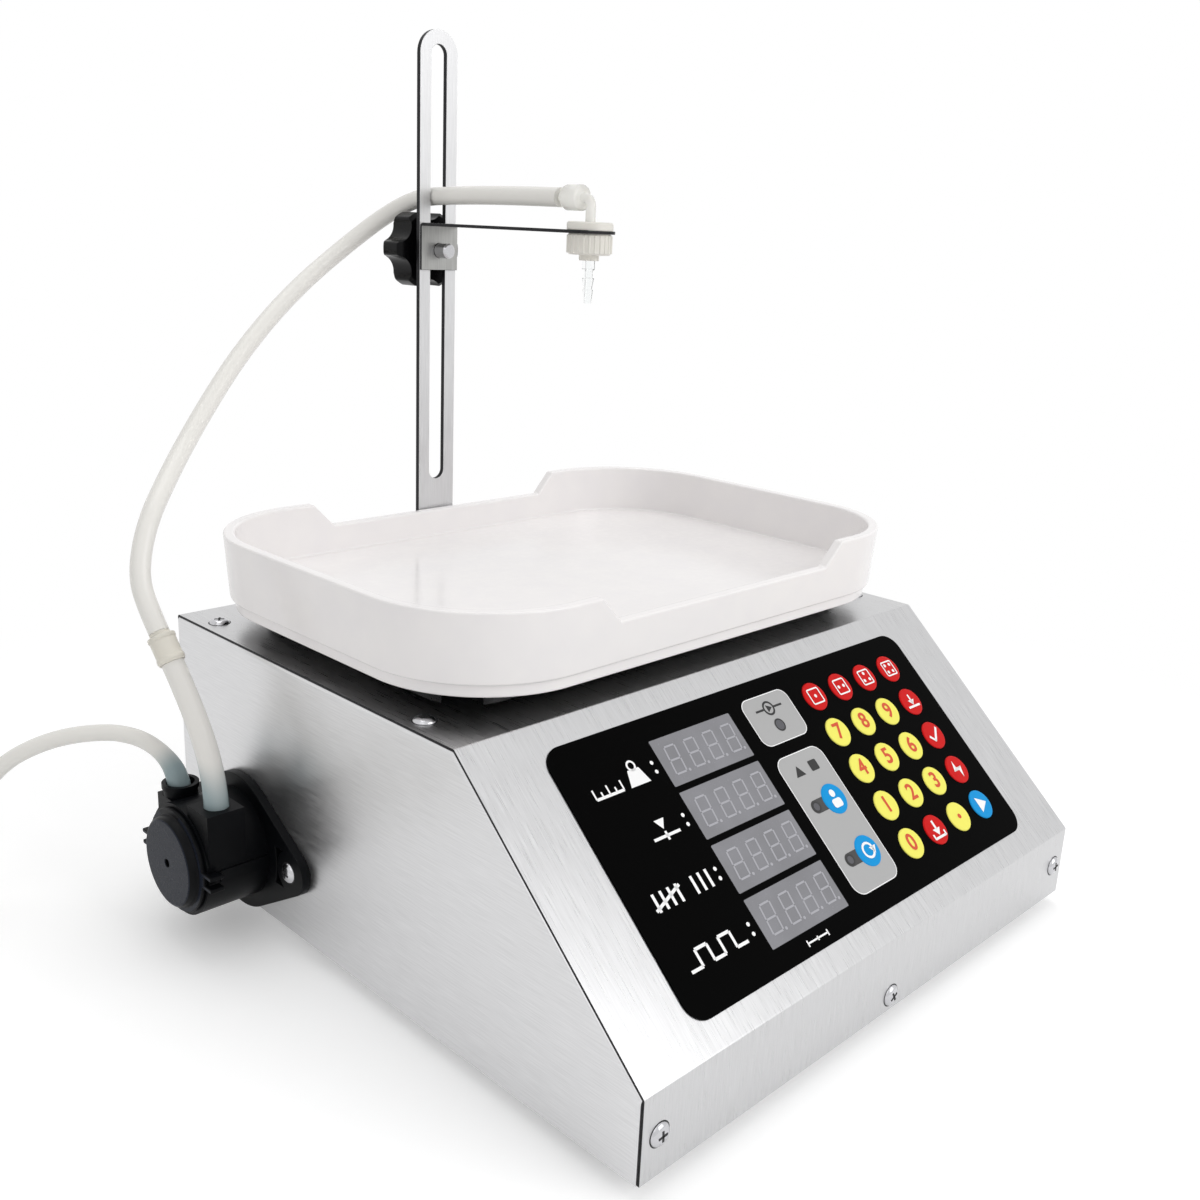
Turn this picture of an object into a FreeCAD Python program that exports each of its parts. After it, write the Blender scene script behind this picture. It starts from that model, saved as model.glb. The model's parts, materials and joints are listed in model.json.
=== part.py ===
# A desktop weighing filler: a folded stainless housing with a sloped keypad, a tray on a
# load cell, a slotted column whose arm holds the nozzle, and a peristaltic pump at the side.
# All sizes are in millimetres. X runs to the right, Y to the back and Z up. The origin is on
# the table, under the middle of the housing.
import FreeCAD, Part
import math
import os
import re

import Sketcher
from FreeCAD import Placement, Rotation, Vector

SIZES = {
    # Housing: a U-shaped chassis under one folded cover
    "housing_width": 330,
    "housing_depth": 332,
    "housing_height": 135,
    "lip_height": 37,
    "slope_run": 109,
    "sheet": 1.2,
    "bend_radius": 1.5,
    "flange_width": 18,
    "front_turnup": 14,
    "edge_gap": 0.6,
    # Feet of rubber bonded to a threaded stud
    "foot_height": 7,
    "foot_radius": 9,
    "foot_inset": 32,
    "stud_radius": 2,
    "stud_length": 6,
    "thread_gap": 0.05,
    # Truss-head screws of the cover, the column and the pump
    "screw_radius": 2,
    "screw_length": 8,
    "screw_head_radius": 5,
    "screw_head_height": 2.2,
    "screw_gap": 0.15,
    "screw_inset": 10,
    "top_screw_front": 140,
    "top_screw_back": 25,
    "lip_screw_height": 18,
    "middle_screw_height": 7.5,
    "back_screw_height": 30,
    # Control panel on the slope, measured from the overlay's lower left corner
    "overlay_shift": 1.5,
    "overlay_rise": 12,
    "overlay_width": 259,
    "overlay_length": 122,
    "overlay_corner": 9.5,
    "overlay_thickness": 0.8,
    "opening_margin": 6,
    "display_left": 56.3,
    "display_bottom": 10,
    "display_pitch": 25.9,
    "window_width": 54.3,
    "window_height": 22.9,
    "module_width": 50.3,
    "module_height": 19,
    "module_gap": 0.1,
    "key_left": 172.2,
    "key_bottom": 20,
    "key_pitch_across": 22,
    "key_pitch_up": 20.85,
    "key_radius": 7.8,
    "key_gap": 0.15,
    "key_dome": 0.5,
    "key_flange": 0.6,
    "key_stem_radius": 2.2,
    "key_travel": 0.4,
    "mode_key_left": 141.9,
    "mode_key_low": 26.6,
    "mode_key_high": 54.4,
    "lamp_radius": 1.5,
    "lamp_gap": 0.1,
    "pump_lamp_left": 137.8,
    "pump_lamp_up": 96.5,
    "mode_lamp_left": 128.1,
    "board_depth": 8.3,
    "board_thickness": 1.6,
    "board_margin": 10,
    "post_radius": 3,
    # Weighing tray and what carries it
    "tray_gap": 1,
    "tray_width": 327,
    "tray_depth": 225,
    "tray_height": 38,
    "tray_lift": 10.5,
    "tray_corner": 60,
    "tray_wall": 5.5,
    "tray_floor": 5.5,
    "tray_draft": 4,
    "tray_band_height": 6,
    "tray_band_inset": 2.4,
    "tray_skirt": 5.5,
    "tray_skirt_wall": 4,
    "tray_notch_depth": 12.5,
    "tray_notch_half": 88,
    "tray_notch_ramp": 13,
    "support_inset_across": 19.5,
    "support_inset_along": 25,
    "support_height": 13,
    "support_corner": 24,
    "support_wall": 2,
    "boss_radius": 13,
    "boss_gap": 3,
    "cell_length": 130,
    "cell_width": 30,
    "cell_height": 22,
    "cell_end": 20,
    "cell_lobe_radius": 7,
    "cell_lobe_spread": 11,
    "cell_bolt_spacing": 14,
    "cell_drop": 25.8,
    "bracket_sheet": 3,
    "bracket_foot": 14,
    "bracket_overhang": 4,
    "bolt_radius": 2.5,
    "bolt_length": 30,
    "bolt_head_radius": 4.25,
    "bolt_head_height": 5,
    # Slotted column
    "bar_width": 25,
    "bar_thickness": 3,
    "bar_top": 430,
    "bar_bottom": 60,
    "bar_wall": 7.25,
    "slot_bottom": 193,
    "bar_screw_low": 72,
    "bar_screw_high": 112,
    # Arm, clamp and nozzle
    "arm_height": 331,
    "arm_thickness": 1.6,
    "arm_overhang": 11.5,
    "arm_corner": 11,
    "plate_height": 25,
    "nozzle_reach": 120,
    "clamp_drop": 14.5,
    "clamp_stud_radius": 4,
    "clamp_stud_front": 9,
    "clamp_stud_back": 14,
    "clamp_gap": 0.1,
    "knob_radius": 21.5,
    "knob_flute_radius": 8.5,
    "knob_flute_orbit": 24.6,
    "knob_height": 21,
    "knob_edge": 1.8,
    "knob_boss_radius": 10,
    "knob_boss_height": 4,
    "holder_flange_radius": 11.5,
    "holder_flange_height": 4,
    "holder_neck_radius": 8,
    "holder_neck_length": 9,
    "holder_gap": 0.15,
    "nut_radius": 10.8,
    "nut_height": 10,
    "nut_ribs": 24,
    "nut_rib_radius": 0.5,
    "nut_neck_radius": 5,
    "nut_neck_height": 2.7,
    "bore_radius": 1.8,
    "tip_radius": 3.2,
    "tip_length": 20.5,
    "tip_bore": 2,
    "elbow_radius": 2.5,
    "elbow_height": 15.2,
    "elbow_reach": 21.5,
    "elbow_bend": 4,
    "elbow_barrel_radius": 6.2,
    "elbow_barrel_length": 12,
    "elbow_barrel_edge": 1.2,
    "elbow_seat": 3,
    # Peristaltic pump
    "pump_inset": 62.5,
    "pump_up": 35,
    "pump_flange_thickness": 4.5,
    "pump_flange_core": 34.5,
    "pump_flange_end": 11,
    "pump_flange_reach": 46,
    "pump_screw_reach": 45,
    "head_radius": 27.5,
    "head_length": 31.5,
    "head_back_wall": 5,
    "track_gap": 0.3,
    "port_spread": 35,
    "port_out": 25,
    "port_radius": 8,
    "port_top": 31,
    "port_recess": 5,
    "port_block_inner": 8.5,
    "port_block_outer": 27,
    "port_block_back": 9,
    "port_block_front": 10,
    "leg_radius": 6,
    "front_recess_gap": 0.1,
    "rear_recess_radius": 6.8,
    "collar_radius": 8.8,
    "collar_height": 2.4,
    "cap_radius": 25.6,
    "cap_step": 2.2,
    "cap_disc_radius": 22,
    "cap_disc_height": 4.3,
    "cap_hole": 2,
    "latch_width": 8,
    "latch_reach": 8,
    "latch_length": 7,
    "tube_radius": 3.5,
    "tube_gap": 0.1,
    "rotor_plate_radius": 11.5,
    "rotor_plate_thickness": 2,
    "rotor_hub_radius": 3.6,
    "rotor_end_gap": 1,
    "roller_radius": 4.4,
    "roller_orbit": 8.7,
    "roller_gap": 0.4,
    "pin_radius": 1.5,
    "pin_gap": 0.08,
    "shaft_radius": 2.5,
    "shaft_gap": 0.1,
    "motor_radius": 18.5,
    "motor_length": 26,
    "motor_rear_radius": 16,
    "motor_rear_length": 34,
    "motor_hole_gap": 1,
    # Hoses
    "hose_radius": 4.8,
    "suction_radius": 4,
    "connector_radius": 6.6,
    "connector_waist_radius": 6.2,
    "hose_end_gap": 0.06,
    "coil_radius": 44,
    "coil_half_width": 8,
    "coil_height": 16,
    # Power
    "inlet_left": 90,
    "inlet_up": 52,
    "inlet_width": 28,
    "inlet_height": 48,
    "inlet_depth": 26,
    "inlet_rim": 1.8,
    "inlet_rim_thickness": 2.2,
    "socket_width": 24,
    "socket_height": 17,
    "socket_depth": 17,
    "socket_drop": 11.5,
    "socket_corner": 5,
    "blade_width": 4,
    "blade_thickness": 2,
    "blade_spread": 7,
    "rocker_width": 13,
    "rocker_height": 19,
    "rocker_depth": 11,
    "rocker_rise": 10.5,
    "rocker_gap": 0.5,
    "rocker_axle": 1.5,
    "rocker_sink": 2.5,
    "rocker_face": 6,
    "rocker_tilt": 8,
    "supply_left": 70,
    "supply_front": 60,
    "supply_width": 78,
    "supply_depth": 110,
    "supply_height": 36,
    "supply_terminal": 14,
}

# Places worked out from the sizes
PLACES = {
    "front_y": "-housing_depth / 2",
    "back_y": "housing_depth / 2",
    "side_x": "housing_width / 2",
    "top_z": "foot_height + housing_height",
    "lip_z": "foot_height + lip_height",
    "slope_rise": "housing_height - lip_height",
    "slope_length": "sqrt(slope_run * slope_run + slope_rise * slope_rise)",
    "slope_sin": "slope_rise / slope_length",
    "slope_cos": "slope_run / slope_length",
    "lip_fold": "(1 - slope_sin) / slope_cos",
    "top_fold": "(1 - slope_cos) / slope_sin",
    "screw_hole": "screw_radius + screw_gap",
    "tray_y": "back_y - tray_gap - tray_depth / 2",
    "tray_z": "top_z + tray_lift",
    "pan_seat_z": "tray_z + tray_skirt",
    "support_width": "tray_width - 2 * support_inset_across",
    "support_depth": "tray_depth - 2 * support_inset_along",
    "tray_slant": "(tray_height - tray_band_height) * tan(tray_draft)",
    "tray_foot_width": "tray_width - 2 * tray_slant",
    "tray_foot_depth": "tray_depth - 2 * tray_slant",
    "bracket_height": "housing_height - sheet - cell_drop - cell_height",
    "bracket_z": "foot_height + sheet + bracket_height",
    "cell_top": "bracket_z + cell_height",
    "cell_bolt_x": "cell_length / 2 - cell_end",
    "opening_left": "display_left - 5",
    "opening_right": "key_left + 3 * key_pitch_across + key_radius + 5",
    "board_left": "opening_left - board_margin",
    "board_right": "opening_right + board_margin",
    "slot_width": "bar_width - 2 * bar_wall",
    "slot_top": "bar_top - bar_wall - slot_width / 2",
    "arm_z": "foot_height + arm_height",
    "clamp_z": "arm_z - clamp_drop",
    "nozzle_y": "back_y - nozzle_reach",
    "bar_back": "back_y + bar_thickness",
    "pump_y": "back_y - pump_inset",
    "pump_z": "foot_height + pump_up",
    "head_front": "pump_flange_thickness + head_length",
    "track_radius": "port_spread / 2",
    "track_wall": "track_radius + tube_radius + track_gap",
    "track_back": "pump_flange_thickness + head_back_wall",
    "roller_back": "track_back + rotor_end_gap + rotor_plate_thickness",
    "roller_length": "head_front - track_back - 2 * rotor_end_gap - 2 * rotor_plate_thickness",
    "hull_cos": "(pump_flange_core - pump_flange_end) / pump_flange_reach",
    "hull_sin": "sqrt(1 - hull_cos * hull_cos)",
    "inlet_z": "foot_height + inlet_up",
}

KEYS = {
    "key_memory_1": (0, 4), "key_memory_2": (1, 4), "key_memory_3": (2, 4), "key_memory_4": (3, 4),
    "key_7": (0, 3), "key_8": (1, 3), "key_9": (2, 3), "key_tare": (3, 3),
    "key_4": (0, 2), "key_5": (1, 2), "key_6": (2, 2), "key_set": (3, 2),
    "key_1": (0, 1), "key_2": (1, 1), "key_3": (2, 1), "key_trigger": (3, 1),
    "key_0": (0, 0), "key_save": (1, 0), "key_point": (2, 0), "key_run": (3, 0),
}

# Points that the free hoses pass, chosen along the way they hang and lie
LEG_ROUTE = [(-190, 86, 68), (-190, 86, 86), (-191.9, 97.4, 114.5), (-194.5, 113, 137)]
CONNECTOR_TOP = (-196, 122, 150)
OUTLET_ROUTE = [
    (-196, 122, 150), (-197.4, 130.2, 161.9), (-197.2, 136.4, 173), (-192.5, 142, 186),
    (-184, 149, 199), (-172, 159, 209.6), (-155, 172, 224), (-135.3, 183.3, 242),
    (-111.5, 194, 264), (-86, 203, 284.5), (-60, 210, 303), (-35.9, 212.7, 318.9),
    (-22.4, 210, 329.3), (-11.5, 203.7, 339), (-3.6, 193.3, 347.1), (0, 179.2, 351.7),
    (0, 155, 352.8), (0, 110, 353.6), (0, 67.5, 353.2),
]
SUCTION_ROUTE = [
    (-190.1, 121.1, 68.7), (-190.9, 122, 75.8), (-193, 124.1, 82.7), (-196.3, 127.4, 88.5),
    (-200.5, 131.8, 93), (-205.7, 137.1, 95.9), (-213.3, 144.9, 97.2), (-226.3, 158.2, 94.5),
    (-237.5, 169.7, 88.8), (-248.6, 181.1, 79.5), (-257.7, 190.5, 65), (-264.7, 197.6, 48),
    (-270.3, 203.3, 31), (-276.9, 210.1, 16.5), (-285.3, 218.7, 7), (-294.7, 228.4, 4),
]
COIL_CENTRE = (-329, 195)

UPRIGHT = Rotation()
FACING_FRONT = Rotation(Vector(1, 0, 0), 90)
FACING_BACK = Rotation(Vector(1, 0, 0), -90)
FACING_LEFT = Rotation(Vector(0, 1, 0), -90)
FACING_DOWN = Rotation(Vector(1, 0, 0), 180)
# The pump is drawn with Z out of the housing's left side and Y upwards
OUT_OF_SIDE = Rotation(Vector(1, -1, -1), 120)

doc = FreeCAD.newDocument("filling_machine")
size_sheet = doc.addObject("Spreadsheet::Sheet", "Sizes")
place_sheet = doc.addObject("Spreadsheet::Sheet", "Places")
work_sheet = doc.addObject("Spreadsheet::Sheet", "Work")
nodes = []


def bound(expression, inside=""):
    """The expression with each alias led by the name of its sheet."""
    def lead(match):
        word = match.group(0)
        if word in SIZES:
            return "Sizes." + word
        if word in PLACES and inside != "Places":
            return "Places." + word
        return word
    return re.sub(r"[a-z][a-z0-9_]*", lead, str(expression))


def fill_sheets():
    for row, (alias, value) in enumerate(SIZES.items(), 1):
        size_sheet.set("A%d" % row, alias)
        size_sheet.set("B%d" % row, str(value))
        size_sheet.setAlias("B%d" % row, alias)
    doc.recompute()
    for row, (alias, formula) in enumerate(PLACES.items(), 1):
        place_sheet.set("A%d" % row, alias)
        place_sheet.set("B%d" % row, "=" + bound(formula, "Places"))
        place_sheet.setAlias("B%d" % row, alias)
        doc.recompute()


known = {}


def number(expression):
    """The present value of an expression, worked out in a cell of the work sheet."""
    text = bound(expression)
    if text not in known:
        work_sheet.set("A1", "=" + text)
        work_sheet.recompute()
        known[text] = float(work_sheet.get("A1"))
    return known[text]


def bind(item, prop, expression):
    item.setExpression(prop, bound(expression))


def label(item, name):
    item.Label = name
    nodes.append(item)
    return item


def place(item, x, y, z, turn=UPRIGHT):
    item.Placement = Placement(Vector(number(x), number(y), number(z)), turn)
    bind(item, "Placement.Base.x", x)
    bind(item, "Placement.Base.y", y)
    bind(item, "Placement.Base.z", z)
    return item


def place_on_slope(item, across, up, out):
    """Puts a piece on the panel: across and up from the overlay's corner, out from the sheet."""
    rise = "(overlay_rise + %s)" % up
    x = "overlay_shift - overlay_width / 2 + " + across
    y = "front_y + %s * slope_cos - (%s) * slope_sin" % (rise, out)
    z = "lip_z + %s * slope_sin + (%s) * slope_cos" % (rise, out)
    place(item, x, y, z, Rotation(Vector(1, 0, 0), number("atan(slope_rise / slope_run)")))
    bind(item, "Placement.Rotation.Angle", "atan(slope_rise / slope_run)")
    return item


# Sketches
def hold(sketch, item, point, x, y):
    """Ties a point of the sketch to its two distances from the sketch's origin."""
    for kind, distance in (("DistanceX", x), ("DistanceY", y)):
        rule = Sketcher.Constraint(kind, -1, 1, item, point, number(distance))
        index = sketch.addConstraint(rule)
        bind(sketch, "Constraints[%d]" % index, distance)


def draw_circle(sketch, x, y, radius):
    centre = Vector(number(x), number(y), 0)
    item = sketch.addGeometry(Part.Circle(centre, Vector(0, 0, 1), number(radius)), False)
    hold(sketch, item, 3, x, y)
    index = sketch.addConstraint(Sketcher.Constraint("Radius", item, number(radius)))
    bind(sketch, "Constraints[%d]" % index, radius)


def draw_outline(sketch, *corners):
    points = [Vector(number(x), number(y), 0) for x, y in corners]
    first = sketch.GeometryCount
    for start, end in zip(points, points[1:] + points[:1]):
        sketch.addGeometry(Part.LineSegment(start, end), False)
    for step, (x, y) in enumerate(corners):
        before = first + (step - 1) % len(corners)
        sketch.addConstraint(Sketcher.Constraint("Coincident", before, 2, first + step, 1))
        hold(sketch, first + step, 1, x, y)


def draw_box(sketch, left, low, right, high):
    draw_outline(sketch, (left, low), (right, low), (right, high), (left, high))


def draw_round_box(sketch, width, depth, radius):
    """A centred rectangle whose corners are arcs tangent to its sides."""
    size = number(radius)
    arcs = []
    for turn, (x, y) in enumerate((("", ""), ("-", ""), ("-", "-"), ("", "-"))):
        x = x + "((%s) / 2 - (%s))" % (width, radius)
        y = y + "((%s) / 2 - (%s))" % (depth, radius)
        circle = Part.Circle(Vector(number(x), number(y), 0), Vector(0, 0, 1), size)
        start = turn * math.pi / 2
        arc = sketch.addGeometry(Part.ArcOfCircle(circle, start, start + math.pi / 2), False)
        hold(sketch, arc, 3, x, y)
        index = sketch.addConstraint(Sketcher.Constraint("Radius", arc, size))
        bind(sketch, "Constraints[%d]" % index, radius)
        arcs.append(arc)
    for arc, following in zip(arcs, arcs[1:] + arcs[:1]):
        ends = sketch.Geometry[arc].EndPoint, sketch.Geometry[following].StartPoint
        line = sketch.addGeometry(Part.LineSegment(*ends), False)
        sketch.addConstraint(Sketcher.Constraint("Tangent", arc, 2, line, 1))
        sketch.addConstraint(Sketcher.Constraint("Tangent", line, 2, following, 1))


DRAW = {"circle": draw_circle, "outline": draw_outline, "box": draw_box,
        "round_box": draw_round_box}


def new_body(name):
    return doc.addObject("PartDesign::Body", name)


def drawn(body, shapes, plane, offset):
    sketch = body.newObject("Sketcher::SketchObject", body.Name + "_sketch")
    origin_plane = [item for item in body.Origin.OriginFeatures if item.Role == plane][0]
    sketch.AttachmentSupport = [(origin_plane, "")]
    sketch.MapMode = "FlatFace"
    bind(sketch, "AttachmentOffset.Base.z", offset)
    for shape in shapes:
        DRAW[shape[0]](sketch, *shape[1:])
    return sketch


def pad(body, shapes, length, plane="XY_Plane", offset="0", reverse=False):
    sketch = drawn(body, shapes, plane, offset)
    feature = body.newObject("PartDesign::Pad", body.Name + "_pad")
    feature.Profile = sketch
    feature.Reversed = reverse
    bind(feature, "Length", length)
    doc.recompute()
    return feature


def pocket(body, shapes, length, plane="XY_Plane", offset="0", reverse=False):
    """Cuts from the sketch against its normal, and checks that something was cut."""
    before = body.Shape.Volume
    sketch = drawn(body, shapes, plane, offset)
    feature = body.newObject("PartDesign::Pocket", body.Name + "_pocket")
    feature.Profile = sketch
    feature.Reversed = reverse
    bind(feature, "Length", length)
    doc.recompute()
    if not body.Shape.Volume < before - 1e-6:
        raise RuntimeError(feature.Name + " cuts nothing")
    return feature


def revolve(body, corners, plane="XZ_Plane"):
    """Turns an outline of radius and height round the vertical axis of its sketch."""
    sketch = drawn(body, [("outline",) + tuple(corners)], plane, "0")
    feature = body.newObject("PartDesign::Revolution", body.Name + "_revolution")
    feature.Profile = sketch
    feature.ReferenceAxis = (sketch, ["V_Axis"])
    feature.Angle = 360
    doc.recompute()
    return feature


def around(body, feature, count):
    """Repeats a feature evenly around the body's Z axis."""
    pattern = body.newObject("PartDesign::PolarPattern", body.Name + "_pattern")
    pattern.Originals = [feature]
    pattern.Axis = ([item for item in body.Origin.OriginFeatures if item.Role == "Z_Axis"][0], [""])
    pattern.Angle = 360
    bind(pattern, "Occurrences", count)
    body.Tip = pattern
    doc.recompute()
    return pattern


def soften(body, size, wanted, kind="Fillet"):
    """Rounds or chamfers the edges of the body that a test picks out."""
    base = body.Tip
    picked = ["Edge%d" % (n + 1) for n, edge in enumerate(base.Shape.Edges) if wanted(edge)]
    feature = body.newObject("PartDesign::" + kind, body.Name + "_" + kind.lower())
    feature.Base = (base, picked)
    bind(feature, "Radius" if kind == "Fillet" else "Size", size)
    doc.recompute()
    if "Invalid" in feature.State or not picked:
        raise RuntimeError("%s fails on %d edges" % (feature.Name, len(picked)))
    return feature


def along(edge, x, y, z):
    """Whether the edge is straight and runs in a direction."""
    if not isinstance(edge.Curve, Part.Line):
        return False
    return abs(abs(edge.Curve.Direction.dot(Vector(x, y, z))) - 1) < 1e-4


def middle(edge):
    return edge.valueAt((edge.FirstParameter + edge.LastParameter) / 2)


def near(a, b):
    return abs(a - b) < 0.01


def group(name, members):
    compound = doc.addObject("Part::Compound", name)
    compound.Links = members
    return label(compound, name)


# Cord solids: straight runs joined by tangent arcs
RUN_SHARE = 0.45


def rounded_wire(points):
    """The wire through a route, each corner an arc as large as its two runs allow."""
    edges = []
    radii = []
    last = points[0]
    for before, corner, after in zip(points, points[1:], points[2:]):
        back = before - corner
        ahead = after - corner
        half_turn = (math.pi - back.getAngle(ahead)) / 2
        trim = RUN_SHARE * min(back.Length, ahead.Length)
        radii.append(trim / math.tan(half_turn))
        back.normalize()
        ahead.normalize()
        start = corner + back * trim
        end = corner + ahead * trim
        inward = back + ahead
        inward.normalize()
        reach = radii[-1] / math.cos(half_turn) - radii[-1]
        edges.append(Part.LineSegment(last, start).toShape())
        edges.append(Part.Arc(start, corner + inward * reach, end).toShape())
        last = end
    edges.append(Part.LineSegment(last, points[-1]).toShape())
    return Part.Wire(edges), radii


def swept(wire, radius):
    start = wire.Edges[0].valueAt(wire.Edges[0].FirstParameter)
    direction = wire.Edges[0].tangentAt(wire.Edges[0].FirstParameter)
    profile = Part.Wire([Part.Circle(start, direction, radius).toShape()])
    return wire.makePipeShell([profile], True, True)


def hose(name, route, radius):
    wire, radii = rounded_wire([Vector(*point) for point in route])
    solid = swept(wire, radius)
    ideal = math.pi * radius * radius * wire.Length
    print("%s: %.0f mm long, least radius %.1f mm, volume %.4f of section times length"
          % (name, wire.Length, min(radii), solid.Volume / ideal))
    feature = doc.addObject("Part::Feature", name)
    feature.Shape = solid
    return label(feature, name)


# Housing
def profile_inset(share):
    """The housing's side outline from lip to back, moved inwards by some sheet thicknesses."""
    depth = "%s * sheet" % share
    return [
        ("front_y + " + depth, "lip_z - %s * lip_fold" % depth),
        ("front_y + slope_run + %s * top_fold" % depth, "top_z - " + depth),
        ("back_y - " + depth, "top_z - " + depth),
    ]


def side_screw_places():
    """Height, depth and facing of the cover's screws on each side."""
    return [
        ("top_screw_front + front_y", "top_z", UPRIGHT),
        ("back_y - top_screw_back", "top_z", UPRIGHT),
        ("front_y", "foot_height + lip_screw_height", FACING_FRONT),
        ("back_y", "foot_height + back_screw_height", FACING_BACK),
    ]


def pierce_for_screws(body, depth):
    """Cuts the cover's screw holes through a body that lies within a depth of the outside."""
    for side in ("-1", "1"):
        x = "%s * (side_x - screw_inset)" % side
        for y in ("top_screw_front + front_y", "back_y - top_screw_back"):
            pocket(body, [("circle", x, y, "screw_hole")], depth, offset="top_z")
        lip = ("circle", x, "foot_height + lip_screw_height", "screw_hole")
        pocket(body, [lip], depth, "XZ_Plane", "-front_y")
        back = ("circle", x, "foot_height + back_screw_height", "screw_hole")
        pocket(body, [back], depth, "XZ_Plane", "-back_y", reverse=True)
    low = ("circle", "0", "foot_height + middle_screw_height", "screw_hole")
    pocket(body, [low], depth, "XZ_Plane", "-front_y")


def make_chassis():
    body = new_body("base_chassis")
    floor_z = "foot_height"
    outer = profile_inset(1)
    inner = profile_inset(2)
    front, back = "front_y + sheet", "back_y - sheet"
    pad(body, [("box", "-side_x", front, "side_x", back)], "sheet", offset=floor_z)
    side = ("outline", (front, floor_z), (back, floor_z), outer[2], outer[1], outer[0])
    band = ("outline", (front, floor_z), outer[0], outer[1], outer[2], (back, floor_z),
            ("back_y - 2 * sheet", floor_z), inner[2], inner[1], inner[0],
            ("front_y + 2 * sheet", floor_z))
    pad(body, [side], "sheet", "YZ_Plane", "-side_x")
    pad(body, [side], "sheet", "YZ_Plane", "side_x - sheet")
    pad(body, [band], "flange_width", "YZ_Plane", "-side_x")
    pad(body, [band], "flange_width", "YZ_Plane", "side_x - flange_width")
    turnup = ("box", "-side_x", "foot_height", "side_x", "foot_height + front_turnup")
    pad(body, [turnup], "sheet", "XZ_Plane", "-(front_y + 2 * sheet)")
    side_x = number("side_x")
    fold = number("top_z - sheet")
    soften(body, "bend_radius", lambda e: near(abs(middle(e).x), side_x) and (
        (along(e, 0, 1, 0) and near(middle(e).z, fold))
        or along(e, 0, number("slope_cos"), number("slope_sin"))))
    for x in ("-1", "1"):
        for y in ("-1", "1"):
            hole = ("circle", "%s * (side_x - foot_inset)" % x, "%s * (back_y - foot_inset)" % y,
                    "stud_radius + thread_gap")
            pocket(body, [hole], "2 * sheet", offset="foot_height + sheet")
    pierce_for_screws(body, "4 * sheet")
    pump = ("circle", "pump_y", "pump_z", "motor_radius + motor_hole_gap")
    holes = [("circle", "pump_y + %s * pump_screw_reach" % way, "pump_z", "screw_hole")
             for way in ("-1", "1")]
    pocket(body, [pump] + holes, "2 * sheet", "YZ_Plane", "-side_x", reverse=True)
    return label(body, "base_chassis")


def make_cover():
    body = new_body("cover_sheet")
    outer = profile_inset(0)
    inner = profile_inset(1)
    band = ("outline", ("front_y", "foot_height"), outer[0], outer[1], outer[2],
            ("back_y", "foot_height"), ("back_y - sheet", "foot_height"),
            inner[2], inner[1], inner[0], ("front_y + sheet", "foot_height"))
    pad(body, [band], "housing_width - 2 * edge_gap", "YZ_Plane", "edge_gap - side_x")
    folds = [(number(y), number(z)) for y, z in outer]
    soften(body, "bend_radius", lambda e: along(e, 1, 0, 0) and any(
        near(middle(e).y, y) and near(middle(e).z, z) for y, z in folds))
    pierce_for_screws(body, "2 * sheet")
    boss = ("circle", "cell_bolt_x", "tray_y", "boss_radius + boss_gap")
    pocket(body, [boss], "2 * sheet", offset="top_z")
    inlet = ("box", "inlet_left - inlet_width / 2", "inlet_z - inlet_height / 2",
             "inlet_left + inlet_width / 2", "inlet_z + inlet_height / 2")
    column = [("circle", "0", "foot_height + " + height, "screw_hole")
              for height in ("bar_screw_low", "bar_screw_high")]
    pocket(body, [inlet] + column, "2 * sheet", "XZ_Plane", "-back_y", reverse=True)
    return body


def make_panel_opening(cover):
    """Cuts the opening behind the overlay out of the cover's slope."""
    tool = doc.addObject("Part::Box", "panel_opening")
    bind(tool, "Length", "opening_right - opening_left")
    bind(tool, "Width", "overlay_length - 2 * opening_margin")
    bind(tool, "Height", "4 * sheet")
    place_on_slope(tool, "opening_left", "opening_margin", "-2 * sheet")
    cut = doc.addObject("Part::Cut", "top_cover_open")
    cut.Base = cover
    cut.Tool = tool
    return label(cut, "top_cover")


def make_feet():
    feet = []
    for x in ("-1", "1"):
        for y in ("-1", "1"):
            body = new_body("foot")
            revolve(body, [("0", "0"), ("foot_radius", "0"), ("foot_radius", "foot_height"),
                           ("stud_radius", "foot_height"),
                           ("stud_radius", "foot_height + stud_length"),
                           ("0", "foot_height + stud_length")])
            feet.append(place(body, "%s * (side_x - foot_inset)" % x,
                              "%s * (back_y - foot_inset)" % y, "0"))
    group("rubber_feet", feet)


def make_screw(x, y, z, turn):
    """A screw with a low domed head, seated at the given point and facing along turn's Z."""
    body = new_body("screw")
    revolve(body, [("0", "-screw_length"), ("screw_radius", "-screw_length"),
                   ("screw_radius", "0"), ("screw_head_radius", "0"),
                   ("screw_head_radius", "0.25 * screw_head_height"),
                   ("0.75 * screw_head_radius", "0.8 * screw_head_height"),
                   ("0.4 * screw_head_radius", "screw_head_height"),
                   ("0", "screw_head_height")])
    return place(body, x, y, z, turn)


def make_case_screws():
    screws = []
    for side in ("-1", "1"):
        for y, z, turn in side_screw_places():
            screws.append(make_screw("%s * (side_x - screw_inset)" % side, y, z, turn))
        screws.append(make_screw("-side_x - pump_flange_thickness",
                                 "pump_y + %s * pump_screw_reach" % side, "pump_z", FACING_LEFT))
    screws.append(make_screw("0", "front_y", "foot_height + middle_screw_height", FACING_FRONT))
    for height in ("bar_screw_low", "bar_screw_high"):
        screws.append(make_screw("0", "bar_back", "foot_height + " + height, FACING_BACK))
    group("case_screws", screws)


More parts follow.
